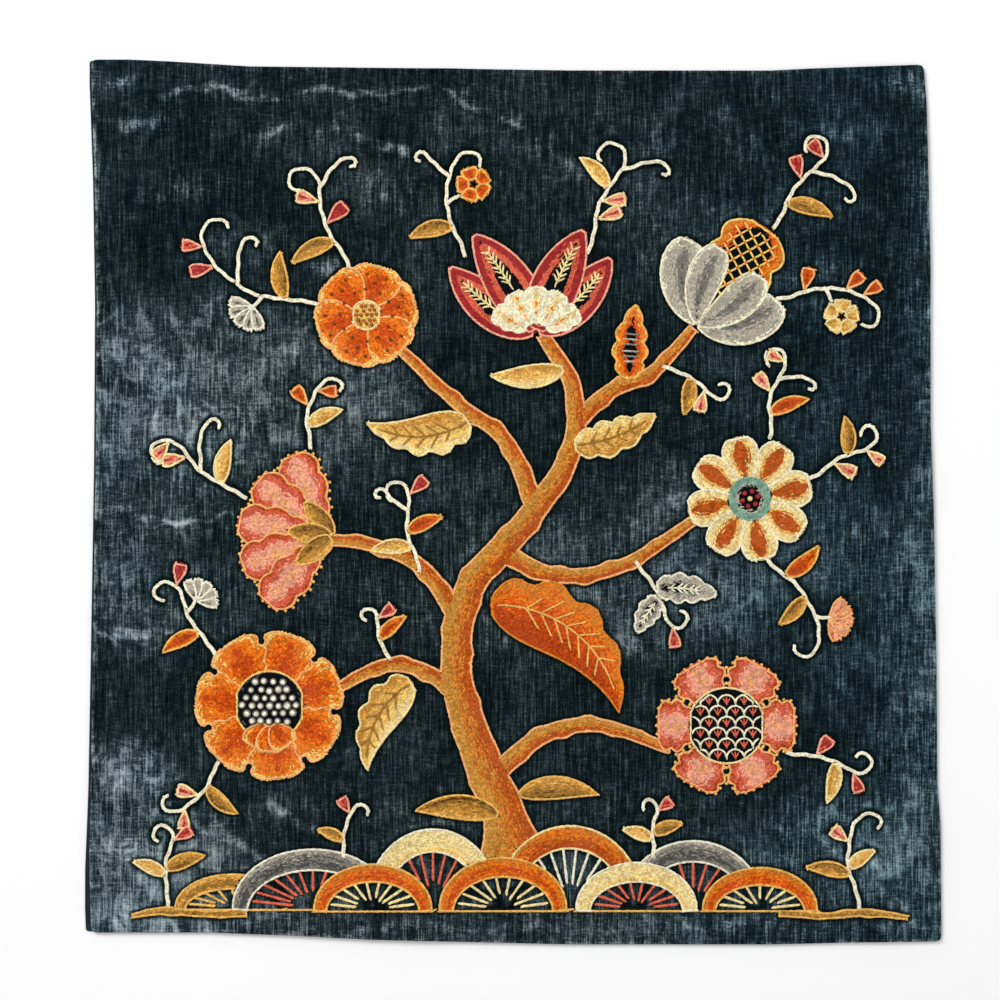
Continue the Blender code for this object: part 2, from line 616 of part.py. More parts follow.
def wool_surface(own, cutters, cloth, cloth_sides):
    """The underside of a piece of wool: its outlines joined, less the cutters, with the velvet's own facets."""
    low = np.min([np.min(loop, axis=0) for loop in own], axis=0)
    high = np.max([np.max(loop, axis=0) for loop in own], axis=0)

    def near(shape):
        return np.all(np.max(shape, axis=0) > low - NEAR) and np.all(np.min(shape, axis=0) < high + NEAR)

    cutters = [loop for loop in cutters if near(loop)]
    folds = [side for side in cloth_sides if near(side)]
    places, triangles, middles = split_plane(own + cutters)
    covered = np.any([turns_round(middles, loop) != 0 for loop in own], axis=0)
    for loop in cutters:
        covered &= turns_round(middles, loop) == 0
    shape = rims(one_piece([t for t, c in zip(triangles, covered) if c], places), places)
    places, triangles, middles = split_plane(shape, folds)
    covered = sum(turns_round(middles, rim) for rim in shape) > 0
    triangles = one_piece([t for t, c in zip(triangles, covered) if c], places)
    used = sorted({i for t in triangles for i in t})
    order = {i: n for n, i in enumerate(used)}
    points = []
    for i in used:
        x, y = places[i]
        hit = cloth.ray_cast(Vector((x, y, 50)), Vector((0, 0, -1)))[0]
        points.append((x, y, hit.z + GAP))
    return points, [tuple(order[i] for i in t) for t in triangles]


# Materials and objects

Look = namedtuple("Look", "name colour roughness")
VELVET = Look("velvet", (0.020, 0.032, 0.036), 0.9)
CLOTH = Look("plain cloth", (0.012, 0.014, 0.016), 0.95)
WOOL = {
    "stem": Look("cream wool", (0.72, 0.60, 0.36), 0.85),
    "cream": Look("cream wool", (0.72, 0.60, 0.36), 0.85),
    "bark": Look("bark wool", (0.46, 0.19, 0.045), 0.85),
    "flame": Look("flame wool", (0.60, 0.15, 0.03), 0.85),
    "orange": Look("orange wool", (0.72, 0.22, 0.04), 0.85),
    "gold": Look("gold wool", (0.48, 0.28, 0.07), 0.85),
    "olive": Look("olive wool", (0.25, 0.16, 0.045), 0.85),
    "slate": Look("slate wool", (0.12, 0.13, 0.14), 0.85),
    "grey": Look("grey wool", (0.28, 0.32, 0.34), 0.85),
    "red": Look("red wool", (0.36, 0.03, 0.04), 0.85),
    "coral": Look("coral wool", (0.62, 0.17, 0.10), 0.85),
}


def material_of(look):
    found = bpy.data.materials.get(look.name)
    if found:
        return found
    material = bpy.data.materials.new(look.name)
    material.use_nodes = True
    material.diffuse_color = (*look.colour, 1)
    shader = material.node_tree.nodes["Principled BSDF"]
    shader.inputs["Base Color"].default_value = (*look.colour, 1)
    shader.inputs["Roughness"].default_value = look.roughness
    return material


def add_sheet(collection, name, surface, thickness, side, look):
    """A solid of even thickness on one side of an open surface: 1 above it, -1 below it."""
    points, triangles = surface
    mesh = bpy.data.meshes.new(name)
    mesh.from_pydata([tuple(MM * c for c in p) for p in points], [], triangles)
    mesh.materials.append(material_of(look))
    obj = bpy.data.objects.new(name, mesh)
    collection.objects.link(obj)
    solid = obj.modifiers.new("Thickness", "SOLIDIFY")
    solid.thickness = MM * thickness
    solid.offset = side


def main():
    for obj in list(bpy.data.objects):
        bpy.data.objects.remove(obj, do_unlink=True)
    panel = bpy.data.collections.new("embroidered panel")
    bpy.context.scene.collection.children.link(panel)

    surface = cloth_surface(BACKING_LEFT, lambda x, y: 0.0, BACKING_CELLS)
    add_sheet(panel, "backing", surface, BACKING_THICK, 1, CLOTH)

    top = BACKING_THICK + GAP + VELVET_THICK
    surface = cloth_surface(LEFT, lambda x, y: top + lift(x, y), VELVET_CELLS)
    add_sheet(panel, "velvet", surface, VELVET_THICK, -1, VELVET)

    points, triangles = surface
    cloth = BVHTree.FromPolygons(points, triangles)
    sides = {tuple(sorted((t[k], t[(k + 1) % 3]))) for t in triangles for k in range(3)}
    cloth_sides = [(np.array(points[a][:2]), np.array(points[b][:2])) for a, b in sorted(sides)]

    outlines, covers, yarns = defaultdict(list), defaultdict(list), {}
    for band in all_bands():
        outlines[band.node].append(left_turning(simpler(outline(band), SIMPLER, SHORTEST)))
        yarns.setdefault(band.node, band.yarn)
    for arch in HILLOCKS:
        covers[arch.node].append(left_turning(simpler(mound(arch), SIMPLER, SHORTEST)))
    names = list(outlines)
    for n, name in enumerate(names):
        cutters = [grown(loop, GAP) for upper in names[n + 1 :] for loop in outlines[upper] + covers[upper]]
        surface = wool_surface(outlines[name], cutters, cloth, cloth_sides)
        add_sheet(panel, name, surface, WOOL_THICK, 1, WOOL[yarns[name]])


main()
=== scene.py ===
"""The looks of the crewel embroidered velvet panel. The velvet and its backing are finer sheets on the
same folds. Each piece of embroidery is worked in wool stitches, row by row, over a thin bed of wool.
Lengths are in millimetres and angles in degrees until each mesh is made, in metres."""
import json
import math
from collections import defaultdict, namedtuple

import bpy
import numpy as np
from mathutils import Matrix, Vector


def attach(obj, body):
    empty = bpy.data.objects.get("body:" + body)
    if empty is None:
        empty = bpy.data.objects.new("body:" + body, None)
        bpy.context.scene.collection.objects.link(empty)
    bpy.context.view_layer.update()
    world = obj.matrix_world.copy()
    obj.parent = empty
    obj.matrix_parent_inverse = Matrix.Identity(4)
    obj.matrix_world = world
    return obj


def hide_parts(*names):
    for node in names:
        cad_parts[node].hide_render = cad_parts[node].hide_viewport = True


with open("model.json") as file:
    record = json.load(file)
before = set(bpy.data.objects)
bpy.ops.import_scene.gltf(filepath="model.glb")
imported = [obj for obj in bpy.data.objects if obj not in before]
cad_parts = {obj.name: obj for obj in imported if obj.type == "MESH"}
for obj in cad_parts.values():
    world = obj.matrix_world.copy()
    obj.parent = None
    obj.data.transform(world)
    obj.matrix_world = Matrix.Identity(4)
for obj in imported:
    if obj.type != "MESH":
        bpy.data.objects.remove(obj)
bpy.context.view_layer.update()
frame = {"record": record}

MM = 0.001
SEED = 11
BACKING_THICK = 1.0
VELVET_THICK = 1.5
GAP = 0.32
CORNER_CUT = 0.9
STEM_WIDTH = 3.2
STEM_TIP_WIDTH = 2.2
STEM_WORKED = 0.76
STEM_SWAY = 0.55
STALK_LENGTH = 9
CURL_STARTS = 0.5
KNOB_PITCH = 31
KNOB_OUT = 1.7

# The size each cloth was cut to, in metres, and how fine its mesh is
VELVET_PITCH = 1.85
BACKING_PITCH = 12.0
SHEET_SIZE = (510.0, 526.0)
EDGE_ROUNDING = 0.94
CORNER_REACH = 3
CREASE_SPREAD = 0.45

# Stitches: rows and the length of one stitch in fills, along edges and in tendrils, how they lean,
# and their heights over the velvet
ROW = 1.9
STITCH = 2.3
EDGE_ROW = 1.25
EDGE_STITCH = 2.6
STEM_STITCH = 4.4
PLY_LEAN = 0.2
STEM_LEAN = 0.13
CHAIN_SPLAY = 0.26
THREAD = 0.95
FOOT = 0.1
SUNK = -0.1
GRAIN_HEIGHT = 0.85
EDGE_HEIGHT = 1.0
OVER = 0.8
BED_CELL = 1.6
BED_HEIGHT = 0.42
BED_SKIRT = 0.3
BED_STEP = 0.02
BED_STEPS = 7

# Small stitches over the fills, and the rays inside the hillocks
BARB_PITCH = 3.6
BARB_SPLAY = 0.75
SIDE_VEIN_SPLAY = 0.8
ROW_OF_HEXAGONS = 0.87
ROW_OF_SCALES = 0.62
PICOT_PITCH = 5.2
PICOT_OUT = 1.3
SMALL_KNOT = 1.0
RAY_WIDTH = 1.5
RAY_PITCH = 3.7
RAY_START = 0.42
BASE_THREAD = 1.1

# The camera looks straight down, with the panel's middle at this pixel of the photo
PHOTO_SIDE = 1000
PANEL_PIXEL = (513, 502)
MM_PER_PIXEL = 0.601
LENS = 85

# The studio: its floor, and its lights' names, places, sizes in metres and power in watts
FLOOR_SIZE = 6
FLOOR_DROP = 0.0002
LIGHTS = (("key", (-0.9, 1.0, 1.6), 0.9, 30), ("fill", (1.2, -0.4, 1.5), 1.4, 8))
WORLD_STRENGTH = 0.5

# The uneven outline of the two cloths: how far out each edge stands, at places along it
Edge = namedtuple("Edge", "along out")
TOP = (
    Edge(-254, 265.6), Edge(-230, 265.6), Edge(-206, 264.4), Edge(-158, 261.4), Edge(-38, 260.2),
    Edge(34, 259), Edge(154, 259), Edge(178, 260.2), Edge(246, 262.6),
)
BOTTOM = (
    Edge(-253, -258.4), Edge(-182, -258.4), Edge(-134, -260.2), Edge(-86, -262.6), Edge(-14, -264.4),
    Edge(34, -265.6), Edge(154, -265.6), Edge(203, -264.4), Edge(257, -263.8),
)
LEFT = (
    Edge(-258, -253.2), Edge(-218, -254.3), Edge(-121, -252.6), Edge(-49, -251.5), Edge(23, -250.3),
    Edge(119, -249.8), Edge(191, -251), Edge(265, -253.4),
)
BACKING_LEFT = (
    Edge(-254, -257.2), Edge(-218, -257.2), Edge(-170, -255.2), Edge(-49, -253), Edge(23, -251.8),
    Edge(119, -251.2), Edge(191, -252.4), Edge(262, -255),
)
RIGHT = (
    Edge(-264, 257.2), Edge(-194, 256.6), Edge(-169, 254.8), Edge(-97, 254.2), Edge(-1, 252.4),
    Edge(47, 250.6), Edge(143, 250.6), Edge(239, 248.2), Edge(263, 246.4),
)

# Soft creases, where the velvet stands up a little, over a gentle cockle all over
COCKLE = 0.35
Crease = namedtuple("Crease", "x0 y0 x1 y1 height width")
CREASES = (
    Crease(-206, 248, -110, 243, 1.6, 34),
    Crease(-110, 243, -38, 246, 1.3, 30),
    Crease(-38, 246, -5, 226, 1.5, 30),
    Crease(-128, 222, -40, 210, 0.9, 36),
    Crease(64, 202, 160, 212, 0.7, 44),
    Crease(-254, -8, -188, -8, 0.9, 36),
    Crease(-248, -71, -212, -71, 0.8, 34),
    Crease(-172, -166, -128, -196, 0.8, 40),
    Crease(-164, -242, -56, -256, 1.2, 34),
    Crease(184, -208, 220, -248, 1.1, 40),
    Crease(-236, 226, -226, -210, 1.2, 44),
    Crease(236, 210, 240, -120, 0.8, 40),
)

# A form says where a blade is widest, from how fast its edges rise and fall, and how its edges are lobed
Form = namedtuple("Form", "rise fall left_lobes right_lobes depth")
FORMS = {
    "leaf": Form(0.70, 1.00, 0, 0, 0.0),
    "serrate": Form(0.55, 0.85, 4, 4, 0.26),
    "acanthus": Form(0.50, 1.05, 5, 0, 0.34),
    "acanthus_right": Form(0.50, 1.05, 0, 5, 0.34),
    "petal": Form(0.80, 0.42, 0, 0, 0.0),
    "pointed": Form(0.60, 0.80, 0, 0, 0.0),
    "frill": Form(0.62, 0.36, 3, 3, 0.20),
    "bud": Form(1.40, 0.45, 0, 0, 0.0),
}
Ribbon = namedtuple("Ribbon", "node yarn points widths")
Arch = namedtuple("Arch", "node yarn x y half_width height thickness")
Blade = namedtuple("Blade", "node form yarn x y angle length width bend")
Ring = namedtuple("Ring", "node form yarn x y count start sweep root reach width")
Disc = namedtuple("Disc", "node yarn x y radius")
Sprig = namedtuple("Sprig", "node x y angle length wave curl shoots")
Shoot = namedtuple("Shoot", "share turn form length width bend yarn")

TREE = (
    Ribbon("tree", "bark", ((2, -232), (-4, -192), (-22, -146), (-34, -100), (-26, -52), (6, -14), (34, 28),
                            (36, 68), (18, 100)), (56, 26, 21, 18, 17, 15, 12, 10, 8)),
    Ribbon("tree", "bark", ((-24, -128), (-48, -104), (-76, -98), (-106, -112)), (12, 9, 8, 6)),
    Ribbon("tree", "bark", ((-30, -74), (-54, -40), (-84, -26), (-116, -22)), (12, 9, 8, 6)),
    Ribbon("tree", "bark", ((14, -4), (-4, 36), (-34, 60), (-68, 92)), (12, 9, 8, 6)),
    Ribbon("tree", "bark", ((-14, -166), (18, -140), (52, -134), (94, -148)), (12, 10, 8, 6)),
    Ribbon("tree", "bark", ((-8, -30), (26, -44), (66, -38), (110, -10)), (12, 9, 8, 6)),
    Ribbon("tree", "bark", ((36, 46), (58, 66), (84, 78), (108, 104)), (11, 9, 8, 6)),
    Ribbon("ground_left", "olive", ((-228, -248), (-208, -245), (-186, -247), (-160, -246)),
           (2.6, 4.6, 3.4, 5)),
    Ribbon("ground_right", "olive", ((160, -246), (188, -248), (212, -246), (236, -249)),
           (5, 3.4, 4.6, 2.6)),
)
HILLOCKS = (
    Arch("hillock_1", "olive", -168, -244, 36, 21, 9),
    Arch("hillock_2", "slate", -120, -244, 50, 36, 13),
    Arch("hillock_3", "cream", -48, -244, 42, 48, 14),
    Arch("hillock_4", "gold", 34, -244, 46, 50, 14),
    Arch("hillock_5", "slate", 108, -244, 44, 41, 13),
    Arch("hillock_6", "flame", -84, -245, 37, 28, 11),
    Arch("hillock_7", "flame", -6, -245, 40, 32, 12),
    Arch("hillock_8", "cream", 74, -245, 38, 29, 12),
    Arch("hillock_9", "flame", 148, -245, 36, 26, 11),
)
SPRIGS = (
    Sprig("sprig_top_left", -98, 140, 108, 92, 16, 240, (
        Shoot(0.22, 64, "leaf", 30, 10, 40, "olive"),
        Shoot(0.34, -62, "bud", 18, 9, -10, "red"),
        Shoot(0.48, 66, "bud", 16, 8, 10, "pink"),
        Shoot(0.58, -50, "tendril", 36, 0, -260, "stem"),
    )),
    Sprig("sprig_left_high", -117, 118, 158, 112, 18, -250, (
        Shoot(0.18, -60, "leaf", 30, 10, -40, "olive"),
        Shoot(0.30, 62, "fan", 15, 7, 0, "blue"),
        Shoot(0.46, -60, "tendril", 40, 0, -240, "stem"),
        Shoot(0.62, 60, "bud", 17, 8, 0, "red"),
        Shoot(0.74, 70, "bud", 14, 7, 0, "red"),
    )),
    Sprig("sprig_left_mid", -160, 2, 140, 86, 14, 230, (
        Shoot(0.20, -58, "leaf", 28, 10, -36, "gold"),
        Shoot(0.38, -50, "tendril", 42, 0, -230, "stem"),
        Shoot(0.52, 62, "bud", 17, 8, 0, "pink"),
        Shoot(0.68, 60, "bud", 15, 8, 0, "pink"),
    )),
    Sprig("sprig_left_low", -178, -92, 118, 74, 12, 240, (
        Shoot(0.24, 62, "leaf", 26, 9, 36, "flame"),
        Shoot(0.44, -58, "fan", 14, 6, 0, "blue"),
        Shoot(0.66, -60, "bud", 15, 8, 0, "red"),
    )),
    Sprig("sprig_peony_down", -176, -156, 232, 58, 14, -250, (
        Shoot(0.28, 60, "leaf", 26, 9, 36, "olive"),
        Shoot(0.42, -60, "bud", 15, 8, 0, "pink"),
        Shoot(0.60, 58, "bud", 14, 7, 0, "pink"),
    )),
    Sprig("sprig_ground_left", -207, -242, 84, 66, 14, 250, (
        Shoot(0.28, 50, "leaf", 22, 8, 30, "gold"),
        Shoot(0.34, -52, "leaf", 26, 9, -30, "olive"),
        Shoot(0.60, -56, "bud", 14, 7, 0, "red"),
    )),
    Sprig("sprig_heart", -56, -42, 96, 76, 16, 240, (
        Shoot(0.22, 58, "leaf", 26, 9, 30, "gold"),
        Shoot(0.34, -60, "leaf", 24, 9, -30, "flame"),
        Shoot(0.50, 58, "tendril", 30, 0, 240, "stem"),
        Shoot(0.64, -60, "bud", 15, 8, 0, "red"),
    )),
    Sprig("sprig_crown_left", -29, 147, 100, 84, 16, -240, (
        Shoot(0.24, 60, "leaf", 28, 10, 40, "olive"),
        Shoot(0.40, -56, "rosette", 11, 10, 0, "flame"),
        Shoot(0.60, 60, "tendril", 32, 0, 240, "stem"),
    )),
    Sprig("sprig_crown_right", 45, 149, 66, 92, 16, 230, (
        Shoot(0.24, -60, "bud", 17, 8, 0, "pink"),
        Shoot(0.36, -60, "bud", 16, 8, 0, "pink"),
        Shoot(0.46, 62, "leaf", 26, 9, 36, "gold"),
        Shoot(0.60, -54, "tendril", 38, 0, -250, "stem"),
    )),
    Sprig("sprig_top_right", 156, 164, 52, 84, 14, 250, (
        Shoot(0.22, -62, "leaf", 30, 10, -40, "olive"),
        Shoot(0.40, 60, "bud", 16, 8, 0, "red"),
        Shoot(0.52, -60, "tendril", 40, 0, -240, "stem"),
        Shoot(0.64, 66, "bud", 14, 8, 0, "red"),
    )),
    Sprig("sprig_right_high", 158, 122, 2, 84, 16, -250, (
        Shoot(0.20, 60, "bud", 16, 8, 0, "rust"),
        Shoot(0.36, -60, "rosette", 11, 10, 0, "gold"),
        Shoot(0.52, 58, "bud", 15, 8, 0, "rust"),
        Shoot(0.64, 58, "bud", 14, 7, 0, "rust"),
    )),
    Sprig("sprig_right_inner", 90, 82, -34, 58, 14, 240, (
        Shoot(0.30, -56, "leaf", 24, 9, -30, "olive"),
        Shoot(0.52, -56, "bud", 15, 8, 0, "pink"),
    )),
    Sprig("sprig_right_mid", 178, 14, 26, 66, 12, 250, (
        Shoot(0.26, -60, "bud", 16, 8, 0, "pink"),
        Shoot(0.42, 58, "leaf", 24, 9, 30, "olive"),
        Shoot(0.58, -60, "bud", 14, 7, 0, "pink"),
    )),
    Sprig("sprig_grey", 74, -36, -64, 64, 14, 230, (
        Shoot(0.30, 62, "serrate", 38, 19, -20, "blue"),
        Shoot(0.40, -62, "serrate", 26, 15, 20, "grey"),
        Shoot(0.72, -60, "bud", 14, 7, 0, "red"),
    )),
    Sprig("sprig_right_low", 150, -32, -52, 88, 14, -240, (
        Shoot(0.22, 60, "leaf", 28, 10, 40, "flame"),
        Shoot(0.40, -60, "leaf", 24, 9, -30, "olive"),
        Shoot(0.56, 60, "fan", 15, 7, 0, "coral"),
    )),
    Sprig("sprig_fruit", 164, -150, -18, 70, 14, 250, (
        Shoot(0.26, 58, "bud", 15, 8, 0, "red"),
        Shoot(0.44, -58, "leaf", 26, 9, -34, "gold"),
        Shoot(0.60, -56, "bud", 14, 7, 0, "red"),
    )),
    Sprig("sprig_ground_right", 208, -244, 96, 78, 14, -250, (
        Shoot(0.28, 52, "leaf", 28, 9, 30, "olive"),
        Shoot(0.34, -50, "leaf", 20, 8, -30, "gold"),
        Shoot(0.54, 60, "bud", 14, 8, 0, "pink"),
    )),
    Sprig("sprig_ground_mid", 84, -213, 84, 46, 10, 230, (
        Shoot(0.24, 54, "leaf", 20, 8, 30, "gold"),
        Shoot(0.30, -54, "leaf", 20, 8, -30, "olive"),
        Shoot(0.60, -50, "bud", 12, 7, 0, "red"),
    )),
    Sprig("sprig_ground_peony", -102, -213, 80, 44, 10, -230, (
        Shoot(0.24, 54, "leaf", 18, 7, 30, "olive"),
        Shoot(0.60, 60, "bud", 12, 7, 0, "red"),
    )),
    Sprig("sprig_star_up", 154, 38, 76, 74, 20, 240, (
        Shoot(0.22, -58, "leaf", 26, 9, -34, "flame"),
        Shoot(0.38, 58, "bud", 15, 8, 0, "pink"),
        Shoot(0.50, -56, "tendril", 30, 0, -240, "stem"),
        Shoot(0.66, 60, "bud", 13, 7, 0, "pink"),
    )),
    Sprig("sprig_carnation_up", -122, 32, 82, 60, 18, -240, (
        Shoot(0.24, -56, "leaf", 24, 9, -34, "gold"),
        Shoot(0.44, 58, "bud", 15, 8, 0, "rust"),
        Shoot(0.62, -58, "bud", 13, 7, 0, "rust"),
    )),
    Sprig("sprig_bough", -74, -95, 104, 46, 16, 230, (
        Shoot(0.30, -54, "leaf", 22, 8, -30, "flame"),
        Shoot(0.58, -60, "bud", 13, 7, 0, "red"),
    )),
)
LEAVES = (
    Blade("leaf_great", "acanthus", "flame", -14, -62, 4, 112, 42, -88),
    Blade("leaf_gold_left", "acanthus_right", "gold", -60, -108, 208, 64, 26, 70),
    Blade("leaf_gold_up", "acanthus", "gold", -26, 49, 214, 66, 26, -66),
    Blade("leaf_gold_right", "serrate", "gold", 36, 34, 4, 54, 23, 34),
    Blade("leaf_olive_low", "leaf", "olive", -8, -188, 160, 52, 15, 34),
    Blade("leaf_olive_right", "leaf", "olive", 3, -176, 22, 50, 14, -44),
    Blade("leaf_flame_top", "serrate", "flame", 70, 73, 92, 46, 22, -14),
    Blade("leaf_gold_crown", "leaf", "gold", 31, 80, 200, 46, 14, -30),
)
FLOWERS = (
    Ring("star_flower", "petal", "cream", 142, 2, 8, 12, 360, 7, 38, 22),
    Disc("star_flower", "teal", 142, 2, 13),
    Ring("peony", "frill", "orange", -146, -122, 7, 20, 360, 14, 45, 35),
    Disc("peony", "seed", -146, -122, 21),
    Ring("peony", "petal", "orange", -146, -131, 3, 235, 70, 2, 20, 17),
    Blade("lily", "pointed", "red", 14, 102, 158, 66, 26, -30),
    Blade("lily", "pointed", "red", 14, 102, 32, 64, 26, 26),
    Blade("lily", "pointed", "red", 14, 102, 116, 70, 29, 14),
    Blade("lily", "pointed", "red", 14, 102, 70, 68, 29, -10),
    Ring("lily", "frill", "cream", 14, 100, 5, 30, 120, 6, 30, 15),
    Ring("pomegranate", "frill", "coral", 128, -134, 6, 60, 360, 16, 42, 33),
    Disc("pomegranate", "scale", 128, -134, 23),
    Ring("carnation", "frill", "coral", -112, -21, 5, 112, 116, 6, 54, 27),
    Ring("carnation", "pointed", "olive", -108, -21, 3, 128, 88, 0, 28, 13),
    Ring("dotted_flower", "petal", "orange", -88, 112, 6, 15, 360, 4, 31, 31),
    Disc("dotted_flower", "gold", -88, 112, 9),
    Blade("lotus", "petal", "grey", 110, 106, -14, 54, 27, 62),
    Blade("lotus", "petal", "grey", 110, 106, 124, 54, 27, -62),
    Blade("lotus", "frill", "orange", 116, 114, 55, 62, 46, 0),
    Blade("lotus", "petal", "grey", 110, 106, 18, 50, 22, 40),
    Blade("lotus", "petal", "grey", 110, 106, 92, 50, 22, -40),
)

# Sharper creases that only the velvet's finer sheet shows
FINE_CREASES = (
    Crease(-206, 248, -110, 243, 0.5, 9),
    Crease(-110, 243, -38, 246, 0.45, 8),
    Crease(-38, 246, -5, 226, 0.5, 8),
    Crease(-128, 232, -100, 220, 0.35, 7),
    Crease(-84, 224, -44, 212, 0.35, 7),
    Crease(64, 202, 160, 212, 0.3, 8),
    Crease(-254, -8, -188, -8, 0.5, 7),
    Crease(-248, -71, -212, -71, 0.4, 7),
    Crease(-172, -166, -128, -196, 0.4, 7),
    Crease(-128, -170, -170, -200, 0.35, 7),
    Crease(-164, -242, -56, -256, 0.4, 9),
    Crease(184, -208, 232, -212, 0.35, 8),
    Crease(184, -208, 220, -248, 0.4, 9),
)

# Where the velvet is worn, and where light is painted on it: soft ovals with half their length and width,
# their turn, how much painted sheen of the pile's lay they carry, and how worn and crushed they are, the
# crushed pile painted lighter as its sheen. The thin ovals along the creases are painted highlights on
# the ridges of the creases
VelvetPatch = namedtuple("VelvetPatch", "x y long wide turn haze wear")
VELVET_PATCHES = (
    VelvetPatch(-205, 76, 112, 58, -8, 0.20, 0.35), VelvetPatch(-220, 84, 40, 30, -20, 0.0, 0.5),
    VelvetPatch(-128, 88, 62, 30, 32, 0.11, 0.3), VelvetPatch(-184, 52, 70, 22, 8, 0.06, 0.5),
    VelvetPatch(-178, 110, 44, 22, 0, 0.03, 0.4), VelvetPatch(-110, 118, 120, 40, 0, 0.08, 0.0),
    VelvetPatch(-118, 144, 40, 8, -42, 0.05, 0.6), VelvetPatch(-84, 76, 70, 44, 70, 0.24, 0.15),
    VelvetPatch(-220, 8, 76, 60, 0, 0.12, 0.2), VelvetPatch(-240, -28, 34, 22, 80, 0.02, 0.24),
    VelvetPatch(-220, -62, 70, 40, 0, 0.05, 0.3), VelvetPatch(-232, -5, 30, 4, 2, 0.06, 0.8),
    VelvetPatch(-196, -10, 48, 2.6, 2, 0.04, 0.9), VelvetPatch(-232, -77, 26, 5, 4, 0.06, 1.0),
    VelvetPatch(-204, -79, 24, 3.5, -6, 0.03, 0.9), VelvetPatch(-228, -164, 44, 26, -24, 0.14, 0.6),
    VelvetPatch(-190, -194, 92, 6, -24, 0.08, 0.8), VelvetPatch(-220, -208, 78, 50, -14, 0.33, 0.4),
    VelvetPatch(-216, -244, 110, 26, -2, 0.20, 0.4), VelvetPatch(-224, -212, 46, 7, -16, 0.0, 0.7),
    VelvetPatch(-176, -224, 44, 5, -20, 0.0, 0.7), VelvetPatch(-132, -190, 30, 4, -32, 0.03, 0.8),
    VelvetPatch(-240, -246, 26, 18, 40, 0.05, 0.8), VelvetPatch(-110, -254, 140, 14, -4, 0.03, 0.15),
    VelvetPatch(130, -256, 190, 10, 0, 0.08, 0.3), VelvetPatch(20, -250, 340, 50, 0, 0.08, 0.1),
    VelvetPatch(-40, -192, 26, 4, 4, 0.03, 0.6), VelvetPatch(130, -24, 240, 90, 0, 0.11, 0.05),
    VelvetPatch(-40, -50, 330, 90, 0, 0.10, 0.0), VelvetPatch(60, -60, 150, 40, 6, 0.08, 0.1),
    VelvetPatch(250, -160, 190, 44, 90, 0.17, 0.15), VelvetPatch(254, 80, 260, 28, 90, 0.17, 0.05),
    VelvetPatch(170, 70, 110, 60, 0, 0.06, 0.02), VelvetPatch(202, -212, 88, 54, 0, 0.16, 0.2),
    VelvetPatch(206, -214, 54, 8, -18, 0.04, 0.7), VelvetPatch(222, -240, 44, 7, -34, 0.04, 0.7),
    VelvetPatch(64, -84, 34, 10, -30, 0.04, 0.4), VelvetPatch(108, 0, 32, 9, -8, 0.05, 0.5),
    VelvetPatch(-190, 246, 40, 3.2, 4, 0.02, 0.9), VelvetPatch(-150, 243, 40, 2.6, -4, 0.02, 0.9),
    VelvetPatch(-84, 246, 60, 3.0, 2, 0.02, 0.9), VelvetPatch(-28, 240, 30, 3.0, -24, 0.02, 0.9),
    VelvetPatch(0, 226, 28, 2.6, -36, 0.02, 0.8), VelvetPatch(-74, 213, 46, 6, -24, 0.05, 0.7),
    VelvetPatch(-146, 222, 26, 4, 10, 0.03, 0.6), VelvetPatch(-240, 252, 18, 8, 0, 0.04, 0.6),
    VelvetPatch(-222, 228, 30, 6, 0, 0.03, 0.6), VelvetPatch(-190, 190, 44, 10, 16, 0.02, 0.25),
    VelvetPatch(-60, 238, 210, 36, 0, 0.05, 0.05), VelvetPatch(-100, 196, 90, 26, -24, 0.05, 0.2),
    VelvetPatch(128, 236, 14, 5, 60, 0.04, 0.7), VelvetPatch(190, 222, 44, 9, 0, 0.04, 0.35),
    VelvetPatch(238, 250, 26, 14, 0, 0.06, 0.6), VelvetPatch(30, 204, 44, 9, -18, 0.04, 0.35),
    VelvetPatch(120, 190, 200, 80, 0, 0.08, 0.05), VelvetPatch(170, 172, 60, 16, 10, 0.03, 0.2),
    VelvetPatch(200, 130, 70, 22, -10, 0.03, 0.2), VelvetPatch(20, -200, 330, 90, 0, 0.10, 0.0),
    VelvetPatch(-60, -255, 70, 4, 0, 0.06, 0.5), VelvetPatch(14, -256, 60, 3, 0, 0.05, 0.5),
    VelvetPatch(96, -254, 50, 3, 0, 0.04, 0.5), VelvetPatch(-188, 32, 100, 28, 0, 0.17, 0.3),
    VelvetPatch(-167, 151, 50, 26, 0, 0.09, 0.1), VelvetPatch(-212, -254, 84, 18, 0, 0.13, 0.2),
    VelvetPatch(214, -112, 60, 40, 0, 0.10, 0.1), VelvetPatch(216, -41, 50, 34, 0, 0.10, 0.05),
)

# How wide and how strong the wear along each edge is, and how far the painted shade on the velvet beside the
# wool reaches
RIM = 2.2
RIM_WEAR = {"left": 0.85, "right": 0.5, "bottom": 0.6, "top": 0.25}
STITCH_SHADE_REACH = 1.9

# The velvet's colours, from its shadows to where its pile is gone, each at its place on the scale
VELVET_COLOURS = (
    (0.04, (0, 4, 6)), (0.30, (15, 28, 30)), (0.50, (46, 61, 64)), (0.75, (109, 124, 126)),
    (1.0, (177, 187, 184)),
)

# The sRGB colour of each yarn
YARNS = {
    "ivory": (250, 236, 200), "cream": (250, 220, 156), "pale_yellow": (250, 204, 112),
    "gold": (232, 180, 92), "ochre": (206, 148, 62), "olive_gold": (164, 120, 50),
    "brown": (112, 70, 32), "rust": (186, 72, 18), "amber": (214, 130, 42),
    "orange": (236, 124, 28), "deep_orange": (212, 84, 20), "peach": (248, 176, 112),
    "coral": (218, 102, 74), "crimson": (168, 46, 48),
    "pink": (244, 166, 136), "blue_grey": (186, 178, 160), "grey": (134, 130, 120),
    "slate": (88, 86, 82), "teal_green": (130, 168, 146), "ink": (10, 16, 20),
    "white": (238, 230, 206), "burnt": (192, 90, 30),
}
YARN_NAMES = list(YARNS)
YARN_NUMBER = {name: k for k, name in enumerate(YARN_NAMES)}

